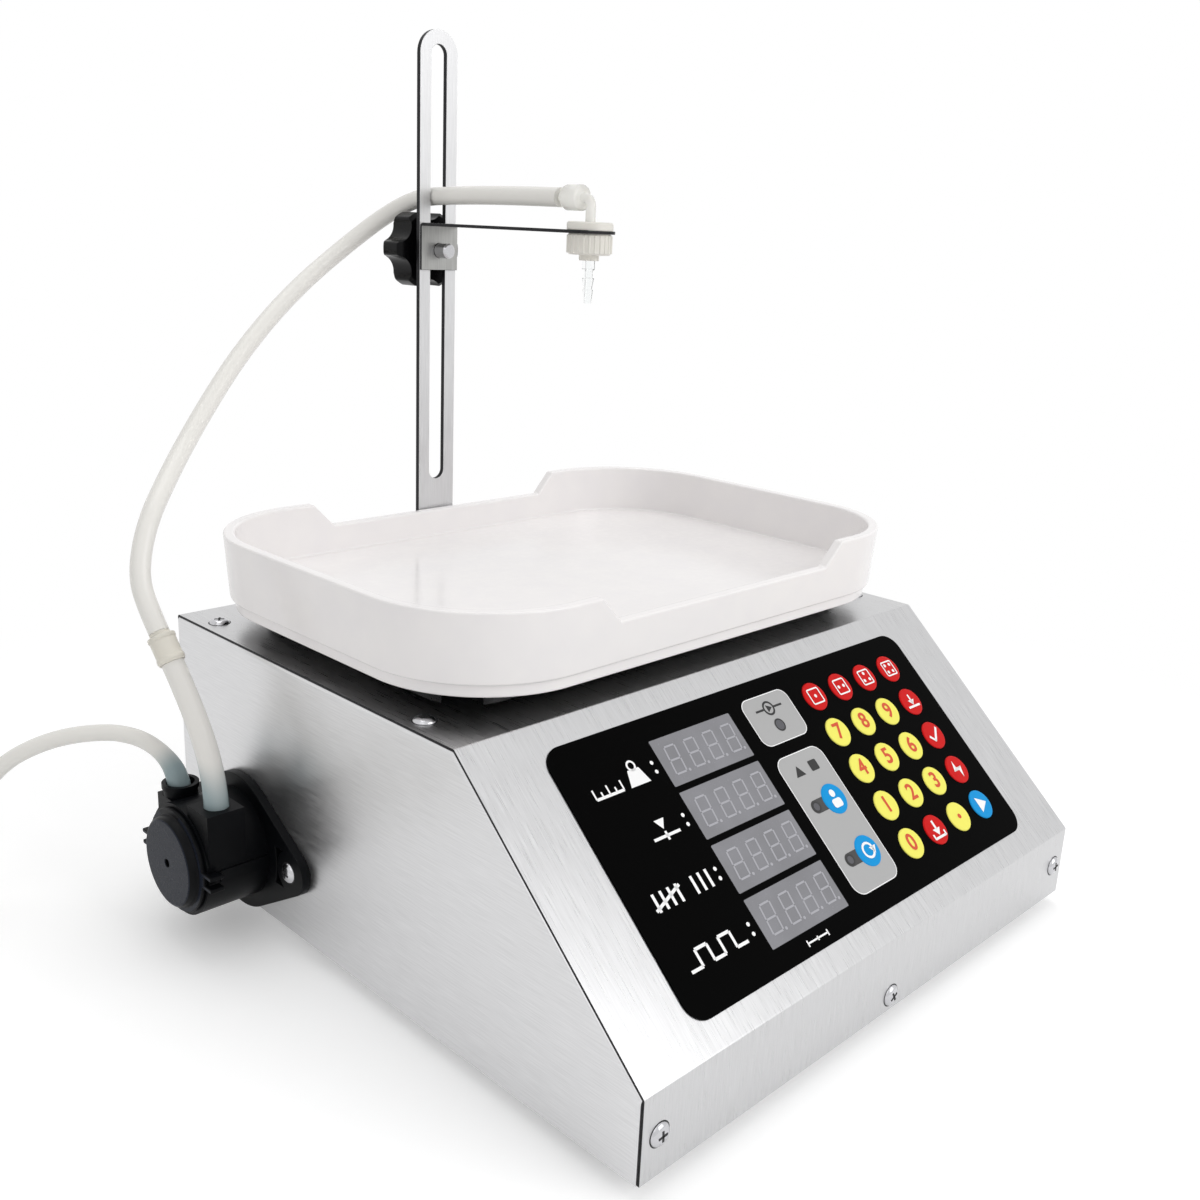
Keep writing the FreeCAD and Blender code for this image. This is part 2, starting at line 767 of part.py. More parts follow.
# Control panel
def key_places():
    """Across and up of every key on the overlay."""
    places = {}
    for name, (column, row) in KEYS.items():
        places[name] = ("(key_left + %d * key_pitch_across)" % column,
                        "(key_bottom + %d * key_pitch_up)" % row)
    places["key_manual"] = ("mode_key_left", "mode_key_high")
    places["key_auto"] = ("mode_key_left", "mode_key_low")
    return places


LAMPS = [("pump_lamp_left", "pump_lamp_up"), ("mode_lamp_left", "mode_key_high"),
         ("mode_lamp_left", "mode_key_low")]


def make_overlay():
    body = new_body("control_overlay")
    pad(body, [("box", "0", "0", "overlay_width", "overlay_length")], "overlay_thickness")
    soften(body, "overlay_corner", lambda e: along(e, 0, 0, 1))
    holes = [("circle", across, up, "key_radius + key_gap") for across, up in key_places().values()]
    holes += [("circle", across, up, "lamp_radius + lamp_gap") for across, up in LAMPS]
    pocket(body, holes, "2 * overlay_thickness", offset="overlay_thickness")
    place_on_slope(body, "0", "0", "0")
    label(body, "control_overlay")


def make_key(name, across, up):
    """A domed key cap on a stem that ends its travel above the board."""
    body = new_body(name)
    edge = "overlay_thickness + key_dome"
    revolve(body, [("0", "key_travel + 0.1 - board_depth"),
                   ("key_stem_radius", "key_travel + 0.1 - board_depth"),
                   ("key_stem_radius", "-key_flange"), ("key_radius", "-key_flange"),
                   ("key_radius", edge + " - 0.35"), ("key_radius - 0.6", edge),
                   ("0", edge + " + 0.15")])
    place_on_slope(body, across, up, "0")
    label(body, name)


def make_board():
    body = new_body("keypad_board")
    pad(body, [("box", "board_left", "opening_margin - 4", "board_right",
                "overlay_length - opening_margin + 4")], "board_thickness",
        offset="-board_depth - board_thickness")
    posts = []
    for across in ("opening_left - 1.7 * post_radius", "opening_right + 1.7 * post_radius"):
        for up in ("2 * opening_margin", "overlay_length - 2 * opening_margin"):
            posts.append(("circle", across, up, "post_radius"))
    pad(body, posts, "board_depth - sheet", offset="-board_depth")
    place_on_slope(body, "0", "0", "0")
    label(body, "keypad_board")


def make_displays():
    modules = []
    for row in range(4):
        body = new_body("display")
        left = "display_left + (window_width - module_width) / 2"
        low = "display_bottom + %d * display_pitch + (window_height - module_height) / 2" % row
        pad(body, [("box", left, low, left + " + module_width", low + " + module_height")],
            "board_depth - module_gap", offset="-board_depth")
        modules.append(place_on_slope(body, "0", "0", "0"))
    group("display_modules", modules)


def make_lamps():
    lamps = []
    for across, up in LAMPS:
        body = new_body("lamp")
        top = "overlay_thickness"
        revolve(body, [("0", "-board_depth"), ("lamp_radius", "-board_depth"),
                       ("lamp_radius", top + " - 0.5"), ("0.6 * lamp_radius", top), ("0", top)])
        lamps.append(place_on_slope(body, across, up, "0"))
    group("indicator_lamps", lamps)


# Weighing tray
def centred_box(width, depth, x="0", y="0"):
    return ("box", "%s - (%s) / 2" % (x, width), "%s - (%s) / 2" % (y, depth),
            "%s + (%s) / 2" % (x, width), "%s + (%s) / 2" % (y, depth))


def make_tray():
    """A tray with slanted walls and round corners, open at the top, with a stepped skirt below."""
    body = new_body("weigh_pan")
    outer = ("round_box", "tray_foot_width", "tray_foot_depth", "tray_corner")
    shell = pad(body, [outer], "tray_height - tray_band_height", offset="tray_band_height")
    bind(shell, "TaperAngle", "tray_draft")
    doc.recompute()
    inner = ("round_box", "tray_width - 2 * tray_wall", "tray_depth - 2 * tray_wall",
             "tray_corner + tray_slant - tray_wall")
    inside = pocket(body, [inner], "tray_height - tray_skirt - tray_floor", offset="tray_height")
    bind(inside, "TaperAngle", "-tray_draft")
    doc.recompute()
    band = "2 * tray_band_inset"
    pad(body, [("round_box", "tray_foot_width - " + band, "tray_foot_depth - " + band,
                "tray_corner - tray_band_inset")], "tray_band_height")
    skirt = "2 * (tray_band_inset + tray_skirt_wall)"
    pocket(body, [("round_box", "tray_foot_width - " + skirt, "tray_foot_depth - " + skirt,
                   "tray_corner - tray_band_inset - tray_skirt_wall")], "tray_skirt", reverse=True)
    half = "tray_notch_half"
    low = "tray_height - tray_notch_depth"
    notch = ("outline", ("tray_notch_ramp - " + half, low), (half + " - tray_notch_ramp", low),
             (half, "tray_height + 1"), ("-" + half, "tray_height + 1"))
    pocket(body, [notch], "2 * tray_depth", "XZ_Plane", "tray_depth")
    place(body, "0", "tray_y", "tray_z")
    return label(body, "weigh_pan")


def make_support():
    body = new_body("pan_support")
    pad(body, [centred_box("support_width", "support_depth")], "support_height",
        offset="-support_height")
    soften(body, "support_corner", lambda e: along(e, 0, 0, 1))
    inner = centred_box("support_width - 2 * support_wall", "support_depth - 2 * support_wall")
    pocket(body, [inner], "support_height - support_wall", offset="-support_height", reverse=True)
    pad(body, [("circle", "cell_bolt_x", "0", "boss_radius")], "pan_seat_z - cell_top - support_wall",
        offset="cell_top - pan_seat_z")
    holes = [("circle", "cell_bolt_x + %s * cell_bolt_spacing / 2" % way, "0",
              "bolt_radius + screw_gap") for way in ("-1", "1")]
    pocket(body, holes, "bolt_length - cell_height + 1", offset="cell_top - pan_seat_z", reverse=True)
    place(body, "0", "tray_y", "pan_seat_z")
    return label(body, "pan_support")


def make_cell():
    body = new_body("load_cell")
    pad(body, [centred_box("cell_length", "cell_width")], "cell_height")
    lobes = [("circle", "%s * cell_lobe_spread" % way, "cell_height / 2", "cell_lobe_radius")
             for way in ("-1", "1")]
    pocket(body, lobes, "2 * cell_width", "XZ_Plane", "cell_width")
    web = ("box", "-cell_lobe_spread", "cell_height / 2 - 2", "cell_lobe_spread",
           "cell_height / 2 + 2")
    pocket(body, [web], "2 * cell_width", "XZ_Plane", "cell_width")
    holes = [("circle", "%s * cell_bolt_x + %s * cell_bolt_spacing / 2" % (end, way), "0",
              "bolt_radius + screw_gap") for end in ("-1", "1") for way in ("-1", "1")]
    pocket(body, holes, "2 * cell_height", offset="cell_height + 1")
    place(body, "0", "tray_y", "bracket_z")
    label(body, "load_cell")


def make_bracket():
    """A hat-shaped bracket that lifts the load cell's fixed end off the floor."""
    body = new_body("cell_bracket")
    left = "(-cell_length / 2 - bracket_overhang)"
    right = "(-cell_bolt_x + cell_bolt_spacing / 2 + cell_end / 2)"
    top = "bracket_height"
    wall = "bracket_sheet"
    hat = ("outline", (left + " - bracket_foot", "0"), (left + " + " + wall, "0"),
           (left + " + " + wall, top + " - " + wall), (right + " - " + wall, top + " - " + wall),
           (right + " - " + wall, "0"), (right + " + bracket_foot", "0"),
           (right + " + bracket_foot", wall), (right, wall), (right, top), (left, top),
           (left, wall), (left + " - bracket_foot", wall))
    pad(body, [hat], "cell_width + 10", "XZ_Plane", "-(cell_width / 2 + 5)")
    holes = [("circle", "-cell_bolt_x + %s * cell_bolt_spacing / 2" % way, "0",
              "bolt_radius + screw_gap") for way in ("-1", "1")]
    pocket(body, holes, "2 * bracket_sheet", offset="bracket_height + 1")
    place(body, "0", "tray_y", "foot_height + sheet")
    label(body, "cell_bracket")


def make_cell_bolts():
    bolts = []
    for end, seat, turn in (("-1", "cell_top", UPRIGHT), ("1", "bracket_z", FACING_DOWN)):
        for way in ("-1", "1"):
            body = new_body("bolt")
            revolve(body, [("0", "-bolt_length"), ("bolt_radius", "-bolt_length"),
                           ("bolt_radius", "0"), ("bolt_head_radius", "0"),
                           ("bolt_head_radius", "bolt_head_height"), ("0", "bolt_head_height")])
            x = "%s * cell_bolt_x + %s * cell_bolt_spacing / 2" % (end, way)
            bolts.append(place(body, x, "tray_y", seat, turn))
    group("cell_bolts", bolts)


# Column, arm and nozzle
def make_bar():
    body = new_body("column_bar")
    half = "bar_width / 2"
    offset = "-bar_back"
    pad(body, [("box", "-" + half, "foot_height + bar_bottom", half,
                "foot_height + bar_top - " + half)], "bar_thickness", "XZ_Plane", offset)
    pad(body, [("circle", "0", "foot_height + bar_top - " + half, half)], "bar_thickness",
        "XZ_Plane", offset)
    low = "foot_height + slot_bottom"
    high = "foot_height + slot_top"
    pocket(body, [("box", "-slot_width / 2", low, "slot_width / 2", high)],
           "2 * bar_thickness", "XZ_Plane", "-back_y")
    ends = [("circle", "0", height, "slot_width / 2") for height in (low, high)]
    pocket(body, ends, "2 * bar_thickness", "XZ_Plane", "-back_y")
    screws = [("circle", "0", "foot_height + " + height, "screw_hole")
              for height in ("bar_screw_low", "bar_screw_high")]
    pocket(body, screws, "2 * bar_thickness", "XZ_Plane", "-back_y")
    label(body, "column_bar")


def make_arm():
    body = new_body("clamp_arm")
    half = "bar_width / 2"
    plate = ("box", "-" + half, "arm_z - plate_height", half, "arm_z")
    pad(body, [plate], "arm_thickness", "XZ_Plane", "-back_y")
    end = "nozzle_y - arm_overhang"
    pad(body, [("box", "-" + half, end, half, "back_y")], "arm_thickness",
        offset="arm_z - arm_thickness")
    tip = number(end)
    fold_y, fold_z = number("back_y"), number("arm_z")
    soften(body, "arm_corner", lambda e: along(e, 0, 0, 1) and near(middle(e).y, tip))
    soften(body, "1.5 * arm_thickness", lambda e: along(e, 1, 0, 0)
           and near(middle(e).y, fold_y) and near(middle(e).z, fold_z))
    pocket(body, [("circle", "0", "nozzle_y", "holder_neck_radius + holder_gap")],
           "3 * arm_thickness", offset="arm_z + arm_thickness")
    pocket(body, [("circle", "0", "clamp_z", "clamp_stud_radius + clamp_gap")],
           "3 * arm_thickness", "XZ_Plane", "-(back_y - 2 * arm_thickness)")
    label(body, "clamp_arm")


def make_knob():
    """A star knob: a round body cut by six flutes, on a boss that meets the bar."""
    body = new_body("clamp_knob")
    revolve(body, [("0", "0"), ("knob_boss_radius", "0"), ("knob_boss_radius", "knob_boss_height"),
                   ("knob_radius - 2", "knob_boss_height"), ("knob_radius", "knob_boss_height + 2"),
                   ("knob_radius", "knob_height - 2.5"), ("knob_radius - 3", "knob_height"),
                   ("0", "knob_height + 1")])
    orbit = "knob_flute_orbit * %s(30)"
    flute = pocket(body, [("circle", orbit % "cos", orbit % "sin", "knob_flute_radius")],
                   "2 * knob_height", offset="1.5 * knob_height")
    around(body, flute, "6")
    soften(body, "knob_edge", lambda e: along(e, 0, 0, 1)
           and near(math.hypot(middle(e).x, middle(e).y), number("knob_radius")))
    pocket(body, [("circle", "0", "0", "clamp_stud_radius + thread_gap")],
           "clamp_stud_back", reverse=True)
    place(body, "0", "bar_back", "clamp_z", FACING_BACK)
    label(body, "clamp_knob")


def make_stud():
    body = new_body("clamp_stud")
    front = "-(bar_thickness + arm_thickness + clamp_stud_front)"
    revolve(body, [("0", front), ("clamp_stud_radius - 0.8", front),
                   ("clamp_stud_radius", front + " + 0.8"),
                   ("clamp_stud_radius", "clamp_stud_back"), ("0", "clamp_stud_back")])
    place(body, "0", "bar_back", "clamp_z", FACING_BACK)
    label(body, "clamp_stud")


def make_nozzle():
    holder = new_body("nozzle_holder")
    neck = "-holder_neck_length"
    revolve(holder, [("bore_radius", neck), ("holder_neck_radius", neck),
                     ("holder_neck_radius", "0"), ("holder_flange_radius", "0"),
                     ("holder_flange_radius", "holder_flange_height - 0.8"),
                     ("holder_flange_radius - 0.8", "holder_flange_height"),
                     ("elbow_radius + thread_gap", "holder_flange_height"),
                     ("elbow_radius + thread_gap", "holder_flange_height - elbow_seat"),
                     ("bore_radius", "holder_flange_height - elbow_seat")])
    label(place(holder, "0", "nozzle_y", "arm_z"), "nozzle_holder")
    nut = new_body("nozzle_nut")
    low = "-nut_height"
    seat = "-holder_neck_length + arm_thickness"
    revolve(nut, [("holder_neck_radius + thread_gap", "0"), ("nut_radius - 0.6", "0"),
                  ("nut_radius", "-0.6"), ("nut_radius", low + " + 0.8"),
                  ("nut_radius - 0.8", low), ("nut_neck_radius", low),
                  ("nut_neck_radius", low + " - nut_neck_height"),
                  ("tip_radius - 0.8", low + " - nut_neck_height"), ("tip_radius - 0.8", seat),
                  ("holder_neck_radius + thread_gap", seat)])
    rib = pad(nut, [("circle", "nut_radius", "0", "nut_rib_radius")], "nut_height - 1.6",
              offset="0.8 - nut_height")
    around(nut, rib, "nut_ribs")
    label(place(nut, "0", "nozzle_y", "arm_z - arm_thickness"), "nozzle_nut")
    tip = new_body("nozzle_tip")
    revolve(tip, [("tip_bore", "0"), ("tip_radius", "0"), ("tip_radius", "-tip_length + 6"),
                  ("tip_radius - 0.5", "-tip_length"), ("tip_bore - 0.5", "-tip_length"),
                  ("tip_bore - 0.5", "-tip_length + 6"), ("tip_bore", "-tip_length + 8")])
    label(place(tip, "0", "nozzle_y", "arm_z - arm_thickness - nut_height - nut_neck_height"),
          "nozzle_tip")


def make_elbow():
    """The elbow's round tube turns from the holder back into the hose."""
    base = Vector(0, number("nozzle_y"), number("arm_z + holder_flange_height - elbow_seat"))
    corner = Vector(base.x, base.y, number("arm_z + elbow_height"))
    end = corner + Vector(0, number("elbow_reach - hose_end_gap"), 0)
    bend = number("elbow_bend")
    start_bend = corner - Vector(0, 0, bend)
    end_bend = corner + Vector(0, bend, 0)
    centre = corner + Vector(0, bend, -bend)
    mid_bend = centre + Vector(0, -bend, bend) * math.sqrt(0.5)
    path = Part.Wire([Part.LineSegment(base, start_bend).toShape(),
                      Part.Arc(start_bend, mid_bend, end_bend).toShape(),
                      Part.LineSegment(end_bend, end).toShape()])
    radius, long, edge = [number("elbow_barrel_" + size) for size in ("radius", "length", "edge")]
    corners = [(0, 0), (radius - edge, 0), (radius, edge), (radius, long - edge),
               (radius - edge, long), (0, long)]
    face = Part.Face(Part.makePolygon([end_bend + Vector(0, y + edge, r)
                                       for r, y in corners + corners[:1]]))
    barrel = face.revolve(end_bend, Vector(0, 1, 0), 360)
    feature = doc.addObject("Part::Feature", "nozzle_elbow")
    feature.Shape = swept(path, number("elbow_radius")).fuse(barrel)
    label(feature, "nozzle_elbow")


# Peristaltic pump, drawn with Z out of the housing's side and Y upwards
def on_side(body, out="0"):
    return place(body, "-side_x - (%s)" % out, "pump_y", "pump_z", OUT_OF_SIDE)


def make_pump_flange():
    """A rhombic plate: a large disc and two small ones, joined by their common tangents."""
    body = new_body("pump_flange")
    core, end, reach = "pump_flange_core", "pump_flange_end", "pump_flange_reach"
    tangents = []
    for way, up in (("1", "1"), ("-1", "1"), ("-1", "-1"), ("1", "-1")):
        on_core = ("%s * %s * hull_cos" % (way, core), "%s * %s * hull_sin" % (up, core))
        on_end = ("%s * (%s + %s * hull_cos)" % (way, reach, end),
                  "%s * %s * hull_sin" % (up, end))
        tangents += [on_core, on_end] if way == up else [on_end, on_core]
    pad(body, [("outline",) + tuple(tangents)], "pump_flange_thickness")
    pad(body, [("circle", "0", "0", core)], "pump_flange_thickness")
    pad(body, [("circle", way + reach, "0", end) for way in ("", "-")], "pump_flange_thickness")
    holes = [("circle", "0", "0", "shaft_radius + shaft_gap")]
    holes += [("circle", way + "pump_screw_reach", "0", "screw_hole") for way in ("", "-")]
    pocket(body, holes, "2 * pump_flange_thickness", offset="pump_flange_thickness + 1")
    return label(on_side(body), "pump_flange")


def make_pump_housing():
    """The pump head: a track for the tube, and two ports on a saddle above it."""
    body = new_body("pump_housing")
    low = "pump_flange_thickness"
    pad(body, [("circle", "0", "0", "head_radius")], "head_length", offset=low)
    saddle = ("box", "-port_spread / 2 - port_radius", "0", "port_spread / 2 + port_radius",
              "port_top - 6")
    pad(body, [saddle], "2 * port_radius", offset="port_out - port_radius")
    block = ("box", "port_block_inner", "port_out - port_block_back", "port_block_outer",
             "port_out + port_block_front")
    pad(body, [block, ("circle", "-port_spread / 2", "port_out", "port_radius")], "port_top",
        "XZ_Plane", "0", reverse=True)
    collar = ("circle", "-port_spread / 2", "port_out", "collar_radius")
    pad(body, [collar], "collar_height", "XZ_Plane", "-port_top", reverse=False)
    ribs = [("box", way + "(head_radius + 0.8)", "-3", way + "(head_radius - 3)", "3")
            for way in ("", "-")]
    pad(body, ribs, "head_length - 6", offset=low)
    pocket(body, [("circle", "0", "0", "track_wall")], "head_length - head_back_wall",
           offset="head_front")
    pocket(body, [("circle", "0", "0", "shaft_radius + shaft_gap")], "head_length",
           offset="head_front")
    bores = [("circle", way + "port_spread / 2", "port_out", "tube_radius + tube_gap")
             for way in ("", "-")]
    pocket(body, bores, "port_top + 1", "XZ_Plane", "-port_top - 1", reverse=True)
    return body


def finish_pump_housing(body):
    """Sinks the two hose seats into the port mouths."""
    seats = (("", "leg_radius + front_recess_gap"), ("-", "rear_recess_radius"))
    for way, radius in seats:
        pocket(body, [("circle", way + "port_spread / 2", "port_out", radius)],
               "port_recess", "XZ_Plane", "-port_top", reverse=True)
    return label(on_side(body), "pump_housing")


def make_pump_cap():
    body = new_body("pump_cap")
    revolve(body, [("cap_hole", "0"), ("cap_radius", "0"), ("cap_radius", "cap_step"),
                   ("cap_disc_radius + 0.6", "cap_step"),
                   ("cap_disc_radius", "cap_disc_height + cap_step - 1"),
                   ("cap_disc_radius - 1", "cap_disc_height + cap_step"),
                   ("cap_hole", "cap_disc_height + cap_step")])
    for way in ("", "-"):
        outer = way + "(cap_radius + latch_reach)"
        ear = ("box", way + "(cap_radius - 2)", "-latch_width / 2", outer, "latch_width / 2")
        hook = ("box", way + "(head_radius + 1.1)", "-latch_width / 2", outer, "latch_width / 2")
        pad(body, [ear], "cap_step")
        pad(body, [hook], "latch_length", offset="cap_step - latch_length")
        notch = ("box", way + "(cap_radius + 1.5)", "-latch_width / 4", way + "(cap_radius + 9)",
                 "latch_width / 4")
        pocket(body, [notch], "2 * latch_length", offset="cap_step + latch_length")
    return label(on_side(body, "head_front"), "pump_cap")


ROLLERS = (90, 210, 330)


def orbit(angle):
    """The place of a roller's axis as two expressions."""
    return ("roller_orbit * cos(%d)" % angle, "roller_orbit * sin(%d)" % angle)


def make_rotor():
    """Two plates on the drive shaft, with three pins for the rollers between them."""
    body = new_body("pump_rotor")
    back = "track_back + rotor_end_gap"
    front = "roller_back + roller_length"
    pad(body, [("circle", "0", "0", "shaft_radius")],
        front + " + motor_length", offset="-motor_length")
    for offset in (back, front):
        pad(body, [("circle", "0", "0", "rotor_plate_radius")], "rotor_plate_thickness",
            offset=offset)
    pad(body, [("circle", "0", "0", "rotor_hub_radius")], "roller_length", offset="roller_back")
    pins = [("circle",) + orbit(angle) + ("pin_radius",) for angle in ROLLERS]
    pad(body, pins, "roller_length", offset="roller_back")
    label(on_side(body), "pump_rotor")


def make_rollers():
    for count, angle in enumerate(ROLLERS, 1):
        body = new_body("pump_roller_%d" % count)
        centre = orbit(angle)
        pad(body, [("circle",) + centre + ("roller_radius",)], "roller_length - 2 * roller_gap",
            offset="roller_back + roller_gap")
        pocket(body, [("circle",) + centre + ("pin_radius + pin_gap",)], "2 * roller_length",
               offset="roller_back + roller_length + 1")
        label(on_side(body), body.Name)


def make_motor():
    body = new_body("pump_motor")
    revolve(body, [("shaft_radius + shaft_gap", "0"), ("motor_radius", "0"),
                   ("motor_radius", "-motor_length"), ("motor_rear_radius", "-motor_length"),
                   ("motor_rear_radius", "-motor_length - motor_rear_length + 2"),
                   ("motor_rear_radius - 2", "-motor_length - motor_rear_length"),
                   ("0", "-motor_length - motor_rear_length"), ("0", "-motor_length - 1"),
                   ("shaft_radius + shaft_gap", "-motor_length - 1")])
    label(on_side(body), "pump_motor")


def make_pump_tube():
    """The squeezed tube: down one port, round the track and up the other."""
    x = number("-side_x - port_out")
    y = number("pump_y")
    z = number("pump_z")
    reach = number("port_spread / 2")
    mouth = z + number("port_top - port_recess")
    path = Part.Wire([
        Part.LineSegment(Vector(x, y - reach, mouth), Vector(x, y - reach, z)).toShape(),
        Part.Arc(Vector(x, y - reach, z), Vector(x, y, z - reach),
                 Vector(x, y + reach, z)).toShape(),
        Part.LineSegment(Vector(x, y + reach, z), Vector(x, y + reach, mouth)).toShape()])
    feature = doc.addObject("Part::Feature", "pump_tube")
    feature.Shape = swept(path, number("tube_radius"))
    label(feature, "pump_tube")


# Hoses
def make_connector():
    """A straight connector between the pump's hose and the longer outlet hose."""
    low = Vector(*LEG_ROUTE[-1])
    axis = Vector(*CONNECTOR_TOP) - low
    body = new_body("hose_connector")
    gap, rim, waist = "hose_end_gap", "connector_radius", "connector_waist_radius"
    long = "%.4f - " % axis.Length
    revolve(body, [("0", gap), (waist, gap), (waist, "0.8"), (rim, "1.2"), (rim, "3"),
                   (waist, "3.4"), (waist, long + "4.4"), (rim, long + "4"), (rim, long + "2.2"),
                   ("hose_radius", long + "1.6"), ("hose_radius", long + gap), ("0", long + gap)])
    body.Placement = Placement(low, Rotation(Vector(0, 0, 1), axis))
    label(body, "hose_connector")


def make_hoses():
    hose("outlet_leg", LEG_ROUTE, number("leg_radius"))
    hose("outlet_hose", OUTLET_ROUTE, number("hose_radius"))
    hose("suction_hose", SUCTION_ROUTE, number("suction_radius"))
    body = new_body("suction_coil")
    inner = "coil_radius - coil_half_width"
    outer = "coil_radius + coil_half_width"
    revolve(body, [(inner, "0"), (outer, "0"), (outer, "coil_height - 3"),
                   (outer + " - 3", "coil_height"), (inner + " + 3", "coil_height"),
                   (inner, "coil_height - 3")])
    label(place(body, COIL_CENTRE[0], COIL_CENTRE[1], "0"), "suction_coil")


# Power
def make_inlet():
    """A snap-in mains inlet on the back, with a socket above and an opening for the rocker."""
    body = new_body("power_inlet")
    half_w, half_h = "inlet_width / 2", "inlet_height / 2"
    rim = ("box", "-%s - inlet_rim" % half_w, "-%s - inlet_rim" % half_h,
           "%s + inlet_rim" % half_w, "%s + inlet_rim" % half_h)
    pad(body, [rim], "inlet_rim_thickness")
    soften(body, "inlet_rim", lambda e: along(e, 0, 0, 1))
    core = ("box", "0.2 - " + half_w, "0.2 - " + half_h, half_w + " - 0.2", half_h + " - 0.2")
    pad(body, [core], "inlet_depth", offset="-inlet_depth")
    front = "inlet_rim_thickness"
    socket = ("box", "-socket_width / 2", "-socket_drop - socket_height / 2",
              "socket_width / 2", "socket_height / 2 - socket_drop")
    pocket(body, [socket], "socket_depth", offset=front)
    blades = []
    for across, drop in (("0", "socket_drop - 2"), ("blade_spread", "socket_drop + 2"),
                         ("-blade_spread", "socket_drop + 2")):
        blades.append(("box", across + " - blade_thickness / 2", "-(%s) - blade_width / 2" % drop,
                       across + " + blade_thickness / 2", "blade_width / 2 - (%s)" % drop))
    pad(body, blades, "socket_depth - 3", offset=front + " - socket_depth")
    opening = ("box", "-rocker_width / 2 - rocker_gap", "rocker_rise - rocker_height / 2 - rocker_gap",
               "rocker_width / 2 + rocker_gap", "rocker_rise + rocker_height / 2 + rocker_gap")
    pocket(body, [opening], "rocker_depth + 4", offset=front)
    place(body, "inlet_left", "back_y", "inlet_z", FACING_BACK)
    label(body, "power_inlet")


def make_rocker():
    """A rocker drawn on its axle, with its face in two slopes, resting on its upper end."""
    body = new_body("power_rocker")
    half = "rocker_height / 2"
    face = "rocker_face"
    profile = ("outline", ("0.6 - " + half, "-rocker_sink"), (half + " - 0.6", "-rocker_sink"),
               (half + " - 0.8", face), ("0", face + " - 1.6"), ("0.8 - " + half, face))
    pad(body, [profile], "rocker_width", "YZ_Plane", "-rocker_width / 2")
    axle = ("circle", "0", "0", "rocker_axle")
    pad(body, [axle], "rocker_width + 2 * rocker_gap", "YZ_Plane", "-rocker_width / 2 - rocker_gap")
    tilted = FACING_BACK.multiply(Rotation(Vector(1, 0, 0), number("rocker_tilt")))
    place(body, "inlet_left", "back_y - rocker_sink", "inlet_z - rocker_rise", tilted)
    label(body, "power_rocker")


def make_supply():
    body = new_body("power_supply")
    pad(body, [centred_box("supply_width", "supply_depth")], "supply_height")
    ledge = ("box", "-supply_width / 2", "-supply_depth / 2", "supply_width / 2",
             "supply_terminal - supply_depth / 2")
    pocket(body, [ledge], "0.45 * supply_height", offset="supply_height")
    place(body, "supply_left", "supply_front - back_y + supply_depth / 2", "foot_height + sheet")
    label(body, "power_supply")


fill_sheets()
make_chassis()
make_panel_opening(make_cover())
make_feet()
make_case_screws()
make_overlay()
for key, (across, up) in key_places().items():
    make_key(key, across, up)
make_board()
make_displays()
make_lamps()
make_tray()
make_support()
make_cell()
make_bracket()
make_cell_bolts()
make_bar()
make_arm()
make_knob()
make_stud()
make_nozzle()
make_elbow()
make_pump_flange()
finish_pump_housing(make_pump_housing())
make_pump_cap()
make_rotor()
make_rollers()
make_motor()
make_pump_tube()
make_connector()
make_hoses()
make_inlet()
make_rocker()
make_supply()
doc.recompute()

for item in doc.Objects:
    if "Invalid" in item.State or "Error" in item.State:
        raise RuntimeError("%s: %s" % (item.Name, item.State))
for item in nodes:
    if item.Shape.isNull() or not item.Shape.isValid() or not item.Shape.Solids:
        raise RuntimeError(item.Label + " has no valid shape")

os.makedirs("parts", exist_ok=True)
for item in nodes:
    item.Shape.exportStep("parts/%s.step" % item.Label)
print("%d nodes, %d solids" % (len(nodes), sum(len(item.Shape.Solids) for item in nodes)))
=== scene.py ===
"""The looks of a desktop weighing filler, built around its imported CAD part.

Sizes are written in millimetres and turned to metres by MM. X runs to the right as seen from
the keypad, Y to the back and Z up. The origin is on the table under the housing's middle.
"""
import json
import math

import bmesh
import bpy
from mathutils import Matrix, Vector


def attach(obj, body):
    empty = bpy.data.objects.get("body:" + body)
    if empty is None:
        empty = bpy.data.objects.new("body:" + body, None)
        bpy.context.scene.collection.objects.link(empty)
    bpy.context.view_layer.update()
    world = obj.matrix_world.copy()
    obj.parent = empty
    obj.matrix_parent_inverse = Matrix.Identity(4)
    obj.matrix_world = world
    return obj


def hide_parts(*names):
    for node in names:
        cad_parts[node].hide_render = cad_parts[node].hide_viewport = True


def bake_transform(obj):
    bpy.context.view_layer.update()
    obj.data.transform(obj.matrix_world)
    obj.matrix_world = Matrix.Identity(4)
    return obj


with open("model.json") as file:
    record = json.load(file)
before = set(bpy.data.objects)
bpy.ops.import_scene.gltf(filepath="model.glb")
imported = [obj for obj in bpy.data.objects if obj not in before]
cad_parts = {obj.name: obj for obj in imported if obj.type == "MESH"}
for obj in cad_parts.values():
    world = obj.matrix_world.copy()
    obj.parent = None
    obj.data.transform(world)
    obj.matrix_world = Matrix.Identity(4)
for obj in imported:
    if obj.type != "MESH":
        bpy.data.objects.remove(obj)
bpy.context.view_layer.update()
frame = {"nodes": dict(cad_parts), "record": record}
MM = 0.001

